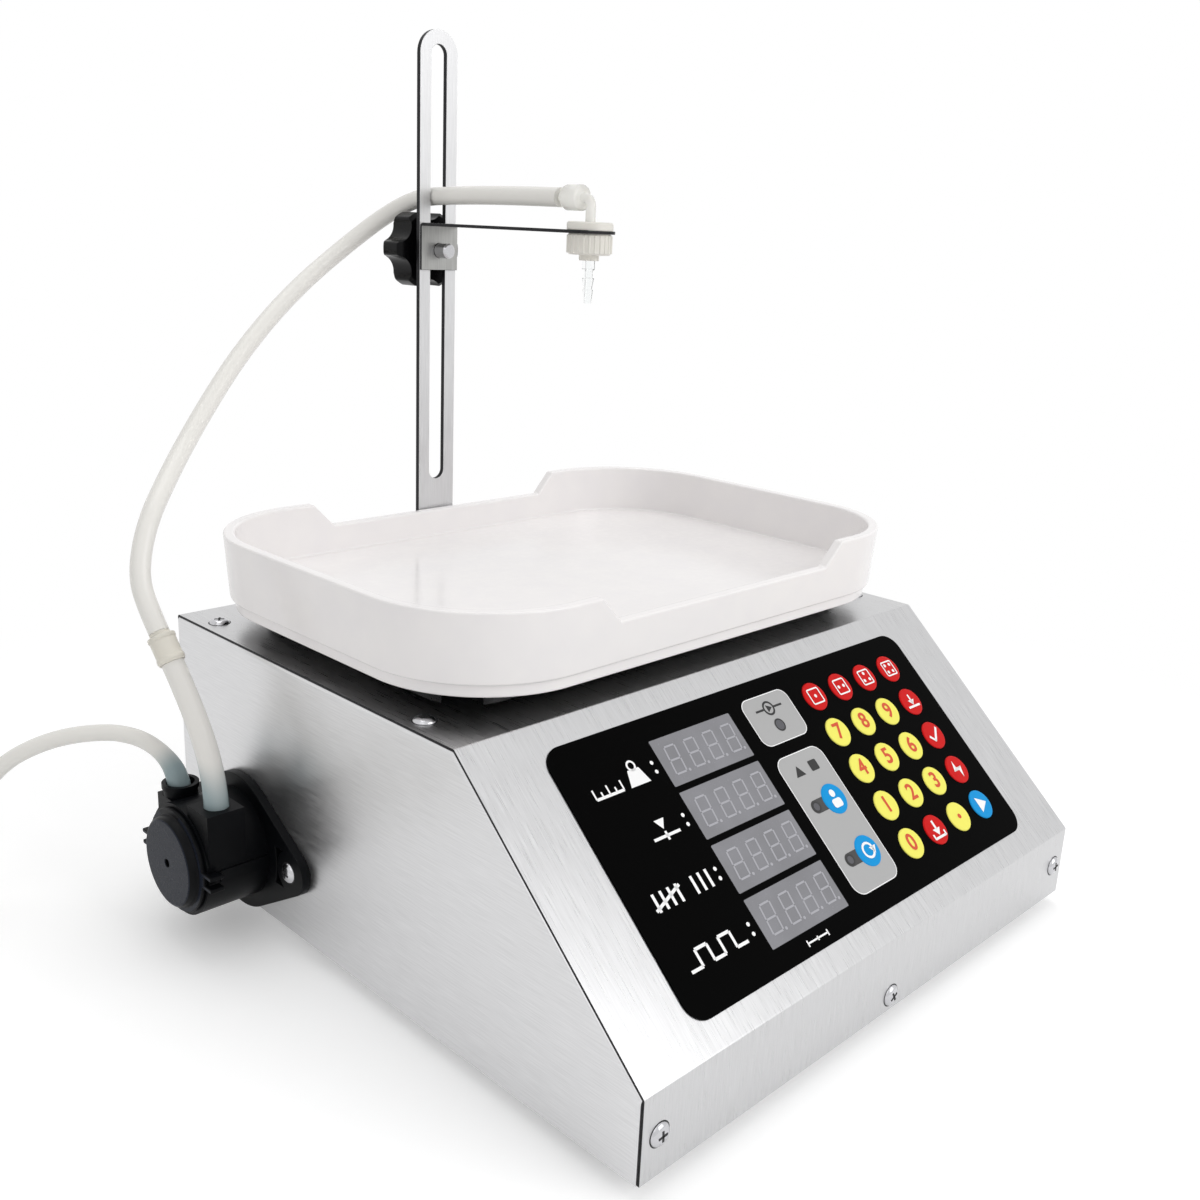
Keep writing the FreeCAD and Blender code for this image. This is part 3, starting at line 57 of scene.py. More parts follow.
# Lines of the CAD part that the looks are placed by, in millimetres
HALF_WIDTH = 165
FRONT, BACK = -166, 166
COVER_TOP = 142
COVER_EDGE = 163  # the cover's faces past this, to either side, are its cut edges
SLOPE_FOOT = 44  # height of the sloped panel's lower bend
SLOPE_RUN = 109
BAR_BACK = 169  # back of the column bar
FLANGE_FACE = -169.5  # left face of the pump's flange
PUMP_Y, PUMP_Z = 103.5, 42  # axis of the pump
PORTS = (-190, PUMP_Y, 66)  # middle between the pump's two hose ports
ARM_TIP = 50  # the arm's faces in front of this belong to its tip
TAB_FOOT = 315  # the arm's faces below this belong to its clamped tab

BODY_OF = {node: body for body, nodes in frame["record"]["behaviour"]["bodies"].items()
           for node in nodes}


# Camera: where the photograph was taken from, turned a little about its own line of sight
CAMERA_ANGLES = (-45.74, 16.37, 2.63)  # azimuth, elevation and roll in degrees
CAMERA_PLACE = (-0.4518, -0.4127, 0.3388)
LENS = 37.83


def place_camera():
    azimuth, elevation, roll = (math.radians(v) for v in CAMERA_ANGLES)
    back = Vector((math.sin(azimuth) * math.cos(elevation),
                   -math.cos(azimuth) * math.cos(elevation), math.sin(elevation)))
    right = (-back).cross(Vector((0, 0, 1))).normalized()
    up = back.cross(right)
    across = math.cos(roll) * right + math.sin(roll) * up
    upward = -math.sin(roll) * right + math.cos(roll) * up
    camera = bpy.data.objects.new("camera", bpy.data.cameras.new("camera"))
    turn = Matrix((across, upward, back)).transposed()
    camera.matrix_world = Matrix.Translation(CAMERA_PLACE) @ turn.to_4x4()
    camera.data.sensor_width = 36
    camera.data.lens = LENS
    bpy.context.collection.objects.link(camera)
    bpy.context.scene.camera = camera


place_camera()


# Materials
def linear(colour):
    """An sRGB hex colour as Blender's linear values."""
    parts = [int(colour[n:n + 2], 16) / 255 for n in (1, 3, 5)]
    return tuple(v / 12.92 if v <= 0.04045 else ((v + 0.055) / 1.055) ** 2.4
                 for v in parts) + (1.0,)


def add(tree, kind, inputs=(), **settings):
    """Adds a node, with its settings and with its inputs linked or set."""
    made = tree.nodes.new("ShaderNode" + kind)
    for name, value in settings.items():
        setattr(made, name, value)
    for name, value in dict(inputs).items():
        if isinstance(value, bpy.types.NodeSocket):
            tree.links.new(value, made.inputs[name])
        else:
            made.inputs[name].default_value = value
    return made


def new_material(name, colour, roughness, **sockets):
    """A material with its constant values on the shader's own sockets."""
    material = bpy.data.materials.new(name)
    material.use_nodes = True
    tree = material.node_tree
    shader = tree.nodes["Principled BSDF"]
    shader.inputs["Base Color"].default_value = linear(colour)
    shader.inputs["Roughness"].default_value = roughness
    for socket, value in sockets.items():
        shader.inputs[socket.replace("_", " ")].default_value = value
    return material, tree, shader


def grain(tree, shader, size_mm, height_mm, stretch=(1, 1, 1), strength=1.0):
    """Bump of one grain size, stretched along an axis for a brushed or ribbed finish."""
    place = add(tree, "TexCoord")
    spread = add(tree, "Mapping", {"Vector": place.outputs["Object"], "Scale": stretch})
    noise = add(tree, "TexNoise", {"Vector": spread.outputs["Vector"],
                                   "Scale": 1 / (size_mm * MM), "Detail": 3.0})
    bump = add(tree, "Bump", {"Height": noise.outputs["Fac"], "Distance": height_mm * MM,
                              "Strength": strength})
    tree.links.new(bump.outputs["Normal"], shader.inputs["Normal"])
    return noise


NOISE_LOW, NOISE_HIGH = 0.3, 0.7  # the span of a noise pattern that is used


def shade(tree, shader, pattern, dark, light):
    """Colours the surface between two tones by a pattern."""
    ramp = add(tree, "ValToRGB", {"Fac": pattern})
    for stop, place, tone in zip(ramp.color_ramp.elements, (NOISE_LOW, NOISE_HIGH),
                                 (dark, light)):
        stop.position = place
        stop.color = linear(tone)
    tree.links.new(ramp.outputs["Color"], shader.inputs["Base Color"])


def vary(tree, shader, pattern, low, high):
    """Roughness that runs between two values by a pattern."""
    span = add(tree, "MapRange", {"Value": pattern, "From Min": NOISE_LOW,
                                  "From Max": NOISE_HIGH, "To Min": low, "To Max": high})
    tree.links.new(span.outputs["Result"], shader.inputs["Roughness"])


def satin_steel(name, dark, light, rough, direction):
    """Satin 304 stainless sheet: fine brushed lines that blur what it mirrors along them."""
    material, tree, shader = new_material(name, light, rough, Metallic=1.0)
    # Real lines lie 0.1 mm apart; they are drawn 0.5 mm wide so that they show
    lines = grain(tree, shader, 0.5, 0.012, stretch=direction, strength=0.12)
    shade(tree, shader, lines.outputs["Fac"], dark, light)
    vary(tree, shader, lines.outputs["Fac"], rough - 0.04, rough + 0.06)
    return material


def moulded(name, colour, rough, size_mm=0.6, height_mm=0.02, darker=None, **sockets):
    """A moulded plastic with its fine spark-eroded texture and a slight drift of tone."""
    material, tree, shader = new_material(name, colour, rough, **sockets)
    noise = grain(tree, shader, size_mm, height_mm, strength=0.5)
    vary(tree, shader, noise.outputs["Fac"], max(0.02, rough - 0.05), rough + 0.06)
    if darker:
        cloud = add(tree, "TexNoise", {"Vector": add(tree, "TexCoord").outputs["Object"],
                                       "Scale": 1 / (18 * MM), "Detail": 2.0})
        shade(tree, shader, cloud.outputs["Fac"], darker, colour)
    return material


# The cover and the side panels are the same satin sheet; the cover's darker base is painted shade,
# for the tray's shadow and the dark reflections on the top
COVER_STEEL = satin_steel("satin_stainless_cover", "#C2C2C3", "#CECECF", 0.3, (1, 0.03, 0.03))
SIDE_STEEL = satin_steel("satin_stainless_side", "#D0D0D1", "#DCDCDD", 0.32, (0.03, 0.03, 1))
BAR_STEEL = satin_steel("brushed_stainless_bar", "#C4C4C5", "#D2D2D3", 0.4, (1, 1, 0.03))
ARM_STEEL = satin_steel("brushed_stainless_arm", "#959593", "#A9A9A7", 0.36, (1, 1, 0.03))
# Painted shade: edges, slot walls and undersides, picked by which way they face, are coloured
# nearly black beside the satin face
PAINTED_EDGE_SHADE = satin_steel("painted_edge_shade_steel", "#232324", "#3A3A3C", 0.5, (1, 1, 1))
SCREW_STEEL = new_material("nickel_plated_screw", "#C3C3C6", 0.2, Metallic=1.0)[0]
ZINC_STEEL = satin_steel("zinc_plated_steel", "#9C9DA0", "#B8B9BC", 0.38, (1, 1, 1))
CELL_ALUMINIUM = satin_steel("milled_aluminium", "#B4B5B8", "#CBCCCE", 0.34, (0.03, 1, 1))
# Injection-moulded ABS, polished: glossy, and just warm enough to look like plastic
TRAY_WHITE = moulded("polished_abs_tray", "#F2EFEE", 0.16, 4.0, 0.02, "#EFECEC", IOR=1.5)
SUPPORT_BLACK = moulded("black_abs_support", "#060608", 0.3, 0.8, 0.02, Specular_IOR_Level=0.25)
# Screen-printed polyester film with a satin face
OVERLAY_FILM = moulded("printed_polyester_film", "#010101", 0.5, 0.5, 0.004,
                       Specular_IOR_Level=0.02)
PRINT_WHITE = moulded("white_screen_ink", "#F4F4F4", 0.42, 0.4, 0.004)
PRINT_BLACK = moulded("black_screen_ink", "#0A0A0A", 0.42, 0.4, 0.004)
PRINT_GREY = moulded("grey_screen_ink", "#A9A9A9", 0.42, 0.4, 0.004)
PRINT_ORANGE = moulded("orange_screen_ink", "#D2481A", 0.42, 0.4, 0.004)
WINDOW_GREY = moulded("smoked_display_window", "#85858A", 0.22, 0.7, 0.004, "#7C7C80")
SEGMENT_GREY = moulded("unlit_display_segment", "#A6A6AC", 0.3, 0.4, 0.004)
WINDOW_DARK = moulded("dark_lamp_window", "#5C5C60", 0.3, 0.6, 0.004, Specular_IOR_Level=0.2)
LAMP_DARK = moulded("unlit_lamp_lens", "#3A3A3A", 0.12, 0.6, 0.004, IOR=1.49)
KEY_RED = moulded("red_printed_key", "#CB0808", 0.4, 0.5, 0.006, Specular_IOR_Level=0.15)
KEY_YELLOW = moulded("yellow_printed_key", "#F1EB6B", 0.4, 0.5, 0.006, Specular_IOR_Level=0.15)
KEY_BLUE = moulded("blue_printed_key", "#0493D7", 0.4, 0.5, 0.006, Specular_IOR_Level=0.15)
KNOB_BLACK = moulded("black_phenolic_knob", "#050506", 0.22, 2.0, 0.02, Specular_IOR_Level=0.12)
PUMP_BLACK = moulded("black_glass_filled_nylon", "#08090C", 0.4, 0.35, 0.02, "#050608",
                     Specular_IOR_Level=0.1)
PUMP_SLATE = moulded("slate_polycarbonate_cap", "#1F232D", 0.3, 0.8, 0.004,
                     Specular_IOR_Level=0.08)
CREAM_NYLON = moulded("natural_nylon_fitting", "#FBF8F0", 0.34, 2.5, 0.004,
                      Transmission_Weight=0.3, IOR=1.45)
JOINER_NYLON = moulded("natural_nylon_joiner", "#F3EFE4", 0.34, 2.5, 0.004,
                       Transmission_Weight=0.3, IOR=1.45)
ELBOW_NYLON = moulded("clear_nylon_elbow", "#FFFEFA", 0.2, 2.5, 0.004,
                      Transmission_Weight=0.5, IOR=1.45)
CLEAR_TIP = new_material("clear_polypropylene", "#FBFCFC", 0.04, Transmission_Weight=1.0,
                         IOR=1.35)[0]
WHITE_NYLON = moulded("white_acetal", "#E4E4E0", 0.3, 0.8, 0.008)
BOARD_GREEN = moulded("solder_mask", "#0E4A24", 0.3, 0.9, 0.01)
FOOT_RUBBER = moulded("black_rubber", "#141414", 0.7, 0.5, 0.03)
SUPPLY_METAL = satin_steel("perforated_aluminium_case", "#9B9C9E", "#AEAFB1", 0.4, (1, 0.05, 1))
# Painted shade: a flat dark colour for the shade in the screws' cross recesses and the shadow ring
# round their heads
RECESS_SHADE = new_material("painted_recess_shade", "#101012", 0.6)[0]


def silicone(name, milky, wet):
    """Milky silicone hose: smooth and whitish, and bluish and wet near the pump's ports, which
    fades out between 22 and 36 mm from them."""
    material, tree, shader = new_material(name, milky, 0.24, Transmission_Weight=0.12, IOR=1.41)
    place = add(tree, "TexCoord")
    away = add(tree, "VectorMath", {0: place.outputs["Object"],
                                    1: [value * MM for value in PORTS]}, operation="DISTANCE")
    near = add(tree, "MapRange", {"Value": away.outputs["Value"], "From Min": 22 * MM,
                                  "From Max": 36 * MM, "To Min": 0.85, "To Max": 0.0},
               interpolation_type="SMOOTHSTEP")
    mixed = add(tree, "Mix", {"Factor": near.outputs["Result"], "A": linear(milky),
                              "B": linear(wet)}, data_type="RGBA")
    tree.links.new(mixed.outputs["Result"], shader.inputs["Base Color"])
    cloud = add(tree, "TexNoise", {"Vector": place.outputs["Object"], "Scale": 1 / (9 * MM),
                                   "Detail": 2.0})
    bump = add(tree, "Bump", {"Height": cloud.outputs["Fac"], "Distance": 0.1 * MM,
                              "Strength": 0.1})
    tree.links.new(bump.outputs["Normal"], shader.inputs["Normal"])
    return material


HOSE_MILKY = silicone("milky_silicone_hose", "#F3F1EC", "#839CA2")


# Meshes
def finished(name, mesh, material, body):
    """A piece at the origin, smooth up to 35 degrees, riding on a body."""
    mesh.materials.clear()
    mesh.materials.append(material)
    mesh.shade_smooth()
    mesh.set_sharp_from_angle(angle=math.radians(35))
    piece = bpy.data.objects.new(name, mesh)
    bpy.context.collection.objects.link(piece)
    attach(piece, body)
    return piece


def from_bmesh(name, work, material, body):
    """A piece from a working mesh, which is freed."""
    mesh = bpy.data.meshes.new(name)
    work.to_mesh(mesh)
    work.free()
    return finished(name, mesh, material, body)


def carry(part, whole):
    """Adds one mesh to another and frees it."""
    mesh = bpy.data.meshes.new("carried")
    part.to_mesh(mesh)
    part.free()
    whole.from_mesh(mesh)
    bpy.data.meshes.remove(mesh)


def merged(node):
    """A CAD node's mesh with its loose triangles joined into whole flat faces."""
    work = bmesh.new()
    work.from_mesh(frame["nodes"][node].data)
    bmesh.ops.remove_doubles(work, verts=work.verts[:], dist=0.004 * MM)
    bmesh.ops.dissolve_limit(work, angle_limit=math.radians(0.6), verts=work.verts[:],
                             edges=work.edges[:])
    return work


def soften(work, size_mm, least_angle, segments=2):
    """Rounds the edges that turn by more than an angle, as a mould or a deburring wheel does."""
    edges = [e for e in work.edges
             if len(e.link_faces) == 2 and e.calc_face_angle(0) > math.radians(least_angle)]
    bmesh.ops.bevel(work, geom=edges, offset=size_mm * MM, offset_type="OFFSET",
                    segments=segments, profile=0.5, affect="EDGES", clamp_overlap=True,
                    material=-1)


def dress(node, material, size_mm=0.4, least_angle=35, segments=2):
    """A copy of a CAD node with rounded edges and evened shading, in place of the node."""
    work = merged(node)
    if size_mm:
        soften(work, size_mm, least_angle, segments)
    piece = from_bmesh(node + "_finish", work, material, BODY_OF[node])
    evened = piece.modifiers.new("evened_shading", "WEIGHTED_NORMAL")
    evened.keep_sharp = True
    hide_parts(node)
    return piece


def repaint(piece, material, wanted):
    """Gives another material to the faces of a piece whose normal and centre, in millimetres,
    pass a test."""
    piece.data.materials.append(material)
    for face in piece.data.polygons:
        if wanted(face.normal, face.center / MM):
            face.material_index = 1


def paint(node, material):
    """A material straight on a CAD node that is shown as it is."""
    mesh = frame["nodes"][node].data
    mesh.materials.clear()
    mesh.materials.append(material)
    mesh.shade_smooth()
    mesh.set_sharp_from_angle(angle=math.radians(30))


def lathe(profile):
    """A closed ring or plug turned from its outline of radius and height, in millimetres."""
    work = bmesh.new()
    outline = [work.verts.new((r * MM, 0, z * MM)) for r, z in profile]
    edges = [work.edges.new(pair) for pair in zip(outline, outline[1:])]
    bmesh.ops.spin(work, geom=outline + edges, cent=(0, 0, 0), axis=(0, 0, 1),
                   angle=2 * math.pi, steps=32, use_merge=True)
    bmesh.ops.remove_doubles(work, verts=work.verts[:], dist=0.001 * MM)
    bmesh.ops.recalc_face_normals(work, faces=work.faces[:])
    return work


def moved(work, place):
    """The same mesh, put in its place."""
    bmesh.ops.transform(work, matrix=place, verts=work.verts[:])
    return work


def at(x, y, z):
    """A place in millimetres."""
    return Matrix.Translation((x * MM, y * MM, z * MM))


FACING_FRONT = Matrix.Rotation(math.radians(90), 4, "X")
FACING_BACK = Matrix.Rotation(math.radians(-90), 4, "X")
FACING_LEFT = Matrix.Rotation(math.radians(-90), 4, "Y")
SLOPE = math.atan2(COVER_TOP - SLOPE_FOOT, SLOPE_RUN)
OVERLAY_LEFT = 37  # from the housing's left side
OVERLAY_LOW = 12  # up the slope from its lower bend
# The panel's own place: across, up and out from the overlay's lower left corner
PANEL = (at(OVERLAY_LEFT - HALF_WIDTH, FRONT + OVERLAY_LOW * math.cos(SLOPE),
            SLOPE_FOOT + OVERLAY_LOW * math.sin(SLOPE)) @ Matrix.Rotation(SLOPE, 4, "X"))


# Hoses
def hose_line(name, points):
    """The smooth line of a hose through a route of points."""
    curve = bpy.data.curves.new(name, "CURVE")
    curve.dimensions = "3D"
    line = curve.splines.new("NURBS")
    line.points.add(len(points) - 1)
    for point, place in zip(line.points, points):
        point.co = (place[0] * MM, place[1] * MM, place[2] * MM, 1)
    line.order_u = 3
    line.use_endpoint_u = True
    curve.resolution_u = 10
    return curve


def hose_tube(name, points, radius, material, swell=()):
    """A mesh tube along a hose's line, and the points of that line."""
    curve = hose_line(name, points)
    holder = bpy.data.objects.new(name + "_line", curve)
    bpy.context.collection.objects.link(holder)
    path = [tuple(v.co) for v in bpy.data.meshes.new_from_object(holder).vertices]
    for index, scale in dict(swell).items():
        curve.splines[0].points[index].radius = scale
    curve.bevel_depth = radius * MM
    curve.bevel_resolution = 8
    curve.use_fill_caps = True
    bpy.context.view_layer.update()
    mesh = bpy.data.meshes.new_from_object(holder)
    bpy.data.objects.remove(holder)
    mesh.name = name
    mesh.materials.clear()
    mesh.materials.append(material)
    mesh.shade_smooth()
    mesh.set_sharp_from_angle(angle=math.radians(50))
    piece = bpy.data.objects.new(name, mesh)
    bpy.context.collection.objects.link(piece)
    return piece, path


LEG = [(-190, 86, 68), (-190, 86, 86), (-191.9, 97.4, 114.5), (-194.5, 113, 137)]
OUTLET = [
    (-196, 122, 150), (-197.4, 130.2, 161.9), (-197.2, 136.4, 173), (-192.5, 142, 186),
    (-184, 149, 199), (-172, 159, 209.6), (-155, 172, 224), (-135.3, 183.3, 242),
    (-111.5, 194, 264), (-86, 203, 284.5), (-60, 210, 303), (-35.9, 212.7, 318.9),
    (-22.4, 210, 329.3), (-11.5, 203.7, 339), (-3.6, 193.3, 347.1), (0, 179.2, 351.7),
    (0, 155, 352.8), (0, 110, 353.6), (0, 67.5, 353.2),
]
SUCTION = [
    (-190.1, 121.1, 68.7), (-190.9, 122, 75.8), (-193, 124.1, 82.7), (-196.3, 127.4, 88.5),
    (-200.5, 131.8, 93), (-205.7, 137.1, 95.9), (-213.3, 144.9, 97.2), (-226.3, 158.2, 94.5),
    (-237.5, 169.7, 88.8), (-248.6, 181.1, 79.5), (-257.7, 190.5, 65), (-264.7, 197.6, 48),
    (-270.3, 203.3, 31), (-276.9, 210.1, 16.5), (-285.3, 218.7, 7),
]
COIL_X, COIL_Y = -329, 195
COIL_START = 44.3  # degrees, where the hose meets the coil
COIL_STEP = 22.5  # degrees between the control points
INSIDE = 0.981  # the drawn line's radius over that of its control points
# The put-away coil: turn in degrees from where the hose meets it, radius and height.
# Two turns lie side by side and the last half turn lies in the groove on them.
COIL_STATIONS = [(8, 48, 4), (225, 48, 4), (300, 40, 4), (555, 40, 4), (618, 40.4, 11.6),
                 (680, 44, 11.6), (890, 44, 11.2)]


def coil_points():
    """Control points of the coil's turns, sixteen to a turn, set a little wide for the line
    that runs inside them."""
    points = []
    for (a, r, z), (b, s, w) in zip(COIL_STATIONS, COIL_STATIONS[1:]):
        count = max(2, round((b - a) / COIL_STEP))
        for step in range(count):
            share = step / count
            turn = math.radians(COIL_START + a + (b - a) * share)
            radius = (r + (s - r) * share) / INSIDE
            points.append((COIL_X + radius * math.cos(turn), COIL_Y + radius * math.sin(turn),
                           z + (w - z) * share))
    return points


def make_hoses():
    leg, path = hose_tube("outlet_leg_hose", LEG, 5.3, HOSE_MILKY, swell={0: 1.12, 1: 1.03})
    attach(leg, "housing")
    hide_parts("outlet_leg")

    outlet, path = hose_tube("outlet_hose_tube", OUTLET, 4.8, HOSE_MILKY)
    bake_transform(outlet)
    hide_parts("outlet_hose")

    suction, path = hose_tube("suction_hose_tube", SUCTION + coil_points(), 4, HOSE_MILKY,
                              swell={0: 1.36, 1: 1.34, 2: 1.14})
    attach(suction, "housing")
    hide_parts("suction_hose", "suction_coil")


make_hoses()


# Housing and its screws
cover = dress("top_cover", COVER_STEEL, 0)
# Painted shade: the cover's side cut edges are coloured nearly black for the dark line of the bend
# and gap beside them
repaint(cover, PAINTED_EDGE_SHADE,
        lambda normal, centre: abs(normal.x) > 0.9 and abs(centre.x) > COVER_EDGE)
dress("base_chassis", SIDE_STEEL, 0)
paint("rubber_feet", FOOT_RUBBER)


# Outlines of a screw's head and of the painted shadow ring round its rim, as radius and height
HEAD = [(0, 1.95), (2.1, 1.95), (3.3, 1.7), (4.3, 1.15), (4.85, 0.55), (5, 0.1), (5, 0)]
RIM_SHADOW = [(4.9, 0.02), (5.45, 0.02), (5.45, 0.06), (4.9, 0.06), (4.9, 0.02)]
RECESS_BAR = (4.8 * MM, 1.1 * MM, 0.4 * MM)
RECESS_HEIGHT = 1.86


def screw_places():
    """Where each screw sits, on the cover, the back, the pump's flange and the column."""
    places = []
    for side in (-1, 1):
        x = side * 155
        places += [at(x, -26, COVER_TOP), at(x, 141, COVER_TOP), at(x, FRONT, 25) @ FACING_FRONT,
                   at(x, BACK, 37) @ FACING_BACK,
                   at(FLANGE_FACE, PUMP_Y + side * 45, PUMP_Z) @ FACING_LEFT]
    return places + [at(0, FRONT, 14.5) @ FACING_FRONT, at(0, BAR_BACK, 79) @ FACING_BACK,
                     at(0, BAR_BACK, 119) @ FACING_BACK]


def make_screws():
    """All the screws as one group: low domed heads with a cross recess drawn as flat dark bars of
    painted shade, each turned as it was driven, with a dark ring of painted shadow round its rim."""
    heads = bmesh.new()
    dark = bmesh.new()
    for count, place in enumerate(screw_places()):
        place = place @ Matrix.Rotation(math.radians(20 + 37 * count), 4, "Z")
        carry(moved(lathe(HEAD), place), heads)
        for turn in (0, 90):
            bar = bmesh.new()
            bmesh.ops.create_cube(bar, size=1)
            bmesh.ops.bevel(bar, geom=bar.edges[:], offset=0.08, segments=2, profile=0.5,
                            affect="EDGES", material=-1)
            carry(moved(bar, place @ Matrix.Rotation(math.radians(turn), 4, "Z")
                        @ at(0, 0, RECESS_HEIGHT) @ Matrix.Diagonal((*RECESS_BAR, 1))), dark)
        # Painted shadow: a dark ring on the sheet round the head's rim
        carry(moved(lathe(RIM_SHADOW), place), dark)
    piece = from_bmesh("truss_head_screws", heads, SCREW_STEEL, "housing")
    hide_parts("case_screws")
    from_bmesh("screw_recess_and_rim_shadows", dark, RECESS_SHADE, "housing")


make_screws()


# Control panel: flat prints lie a hair above the film, in panel millimetres
def plate(left, low, right, high, corner=0.0, ring=0.0):
    """A flat rectangle with round corners, or only its outline of a width."""
    work = bmesh.new()
    bmesh.ops.create_grid(work, x_segments=1, y_segments=1, size=0.5)
    bmesh.ops.transform(work, verts=work.verts[:], matrix=Matrix.Translation(
        ((left + right) / 2, (low + high) / 2, 0)) @ Matrix.Diagonal(
        (right - left, high - low, 1, 1)))
    if corner:
        bmesh.ops.bevel(work, geom=work.verts[:], offset=corner, segments=8, profile=0.5,
                        affect="VERTICES", material=-1)
    return hollowed(work, ring)


def hollowed(work, ring):
    """Leaves only a rim of a flat patch, where a rim's width is given."""
    if ring:
        faces = work.faces[:]
        bmesh.ops.inset_region(work, faces=faces, thickness=ring, use_even_offset=True,
                               use_boundary=True)
        bmesh.ops.delete(work, geom=faces, context="FACES")
    return work


def disc(x, y, radius, ring=0.0, segments=28):
    """A flat disc, or only its outline of a width."""
    work = bmesh.new()
    bmesh.ops.create_circle(work, cap_ends=True, radius=radius, segments=segments)
    bmesh.ops.translate(work, verts=work.verts[:], vec=(x, y, 0))
    return hollowed(work, ring)


def shape(*corners):
    """A flat patch with the given corners, anticlockwise."""
    work = bmesh.new()
    work.faces.new([work.verts.new((x, y, 0)) for x, y in corners])
    return work


def stroke(start, end, width):
    """A straight bar between two points."""
    run = Vector((end[0] - start[0], end[1] - start[1], 0))
    bar = plate(0, -width / 2, run.length, width / 2)
    turn = Matrix.Rotation(math.atan2(run.y, run.x), 4, "Z")
    bmesh.ops.transform(bar, verts=bar.verts[:],
                        matrix=Matrix.Translation((start[0], start[1], 0)) @ turn)
    return bar


def numeral(text, size, x, y):
    """A plain numeral, centred on a point."""
    words = bpy.data.curves.new("numeral", "FONT")
    words.body = text
    words.size = size
    words.align_x = "CENTER"
    words.align_y = "CENTER"
    words.bevel_depth = 0.024 * size
    words.bevel_resolution = 1
    holder = bpy.data.objects.new("numeral", words)
    bpy.context.collection.objects.link(holder)
    mesh = bpy.data.meshes.new_from_object(holder)
    bpy.data.objects.remove(holder)
    work = bmesh.new()
    work.from_mesh(mesh)
    bpy.data.meshes.remove(mesh)
    # The bevel makes the numeral bold; its under half goes and the rest is pressed nearly flat
    bmesh.ops.delete(work, geom=[f for f in work.faces if f.calc_center_median().z < -0.001],
                     context="FACES")
    bmesh.ops.scale(work, verts=work.verts[:], vec=(1, 1, 0.04))
    bmesh.ops.translate(work, verts=work.verts[:], vec=(x, y, 0))
    return work


def print_on(name, parts, material, height, body="housing"):
    """Gathers flat prints into one thin piece at a height above the panel's sheet."""
    work = bmesh.new()
    for part in parts:
        carry(part, work)
    bmesh.ops.recalc_face_normals(work, faces=work.faces[:])
    for face in work.faces:
        if face.normal.z < 0:
            face.normal_flip()
    bmesh.ops.translate(work, verts=work.verts[:], vec=(0, 0, height))
    bmesh.ops.scale(work, verts=work.verts[:], vec=(MM, MM, MM))
    moved(work, PANEL)
    return from_bmesh(name, work, material, body)


# Heights above the panel's sheet: the film, prints on it, and marks on those prints
FILM = 0.8
PRINT = FILM + 0.05
MARK = FILM + 0.1
# Four rows of displays and their labels, counted from the lowest
ROWS = range(4)
ROW_PITCH = 25.9
WINDOW_LEFT, WINDOW_RIGHT = 56.3, 110.6
WINDOW_LOW, WINDOW_HEIGHT = 10, 22.9
LABEL_LOW = 21.5
COLON_X = 51.5
# Digits of a display: their width and height, what they lean, and the step to the next
DIGIT_LEFT, DIGIT_LIFT = 61.2, 4.9
DIGIT_WIDTH, DIGIT_HEIGHT = 6.6, 13.2
DIGIT_LEAN = 0.1
DIGIT_PITCH = 12.7
# The two grey label boxes, and the two mode keys in the lower one
BOXES = [(120, 88, 154.5, 113.5, 5.5), (119, 10.3, 153.5, 81.5, 6.5)]
MODE_X = 141.9
LAMP_X = 128.1
AUTO_UP, MANUAL_UP = 26.6, 54.4


def digit_segments(left, low):
    """The seven bars and the point of one unlit digit."""
    gap = 0.35
    mid = low + DIGIT_HEIGHT / 2
    top = low + DIGIT_HEIGHT
    right = left + DIGIT_WIDTH
    bars = [((left + gap, y), (right - gap, y)) for y in (low, mid, top)]
    bars += [((x, a + gap), (x, b - gap)) for x in (left, right)
             for a, b in ((low, mid), (mid, top))]
    parts = []
    for ends in bars:
        start, end = [(x + DIGIT_LEAN * (y - low), y) for x, y in ends]
        parts.append(stroke(start, end, 0.13 * DIGIT_WIDTH))
    return parts + [disc(right + 1.9, low, 0.75, segments=12)]


def make_displays():
    """The four smoked windows with their four unlit digits each."""
    windows = []
    segments = []
    for row in ROWS:
        low = WINDOW_LOW + ROW_PITCH * row
        windows.append(plate(WINDOW_LEFT, low, WINDOW_RIGHT, low + WINDOW_HEIGHT, 0.6))
        for place in range(4):
            segments += digit_segments(DIGIT_LEFT + DIGIT_PITCH * place, low + DIGIT_LIFT)
    print_on("display_windows", windows, WINDOW_GREY, PRINT)
    print_on("display_segments", segments, SEGMENT_GREY, MARK)


def label_up(row):
    """The middle height of a display's label."""
    return LABEL_LOW + ROW_PITCH * row


def make_prints():
    """The film, the grey boxes with their rims, the lamps' windows and the labels' colons."""
    dress("control_overlay", OVERLAY_FILM, 0.15, 50, 1)
    print_on("label_boxes", [plate(*box) for box in BOXES], PRINT_GREY, PRINT)
    print_on("label_box_rims", [plate(*box, 0.45) for box in BOXES], PRINT_WHITE, MARK)
    pills = [plate(124.6, up - 3.3, MODE_X, up + 3.3, 3.3) for up in (AUTO_UP, MANUAL_UP)]
    print_on("mode_lamp_pills", pills, LAMP_DARK, MARK)
    lamps = [(LAMP_X, AUTO_UP, 2.7), (LAMP_X, MANUAL_UP, 2.7), (137.8, 96.5, 3.4)]
    print_on("lamp_windows", [disc(*lamp) for lamp in lamps], WINDOW_DARK, MARK + 0.03)
    print_on("lamp_rings", [disc(*lamp, 0.8) for lamp in lamps], PRINT_BLACK, MARK + 0.06)
    print_on("label_colons", [disc(COLON_X, label_up(row) + lift, 0.95, segments=14)
                              for row in ROWS for lift in (-2.2, 2.2)], PRINT_WHITE, MARK)


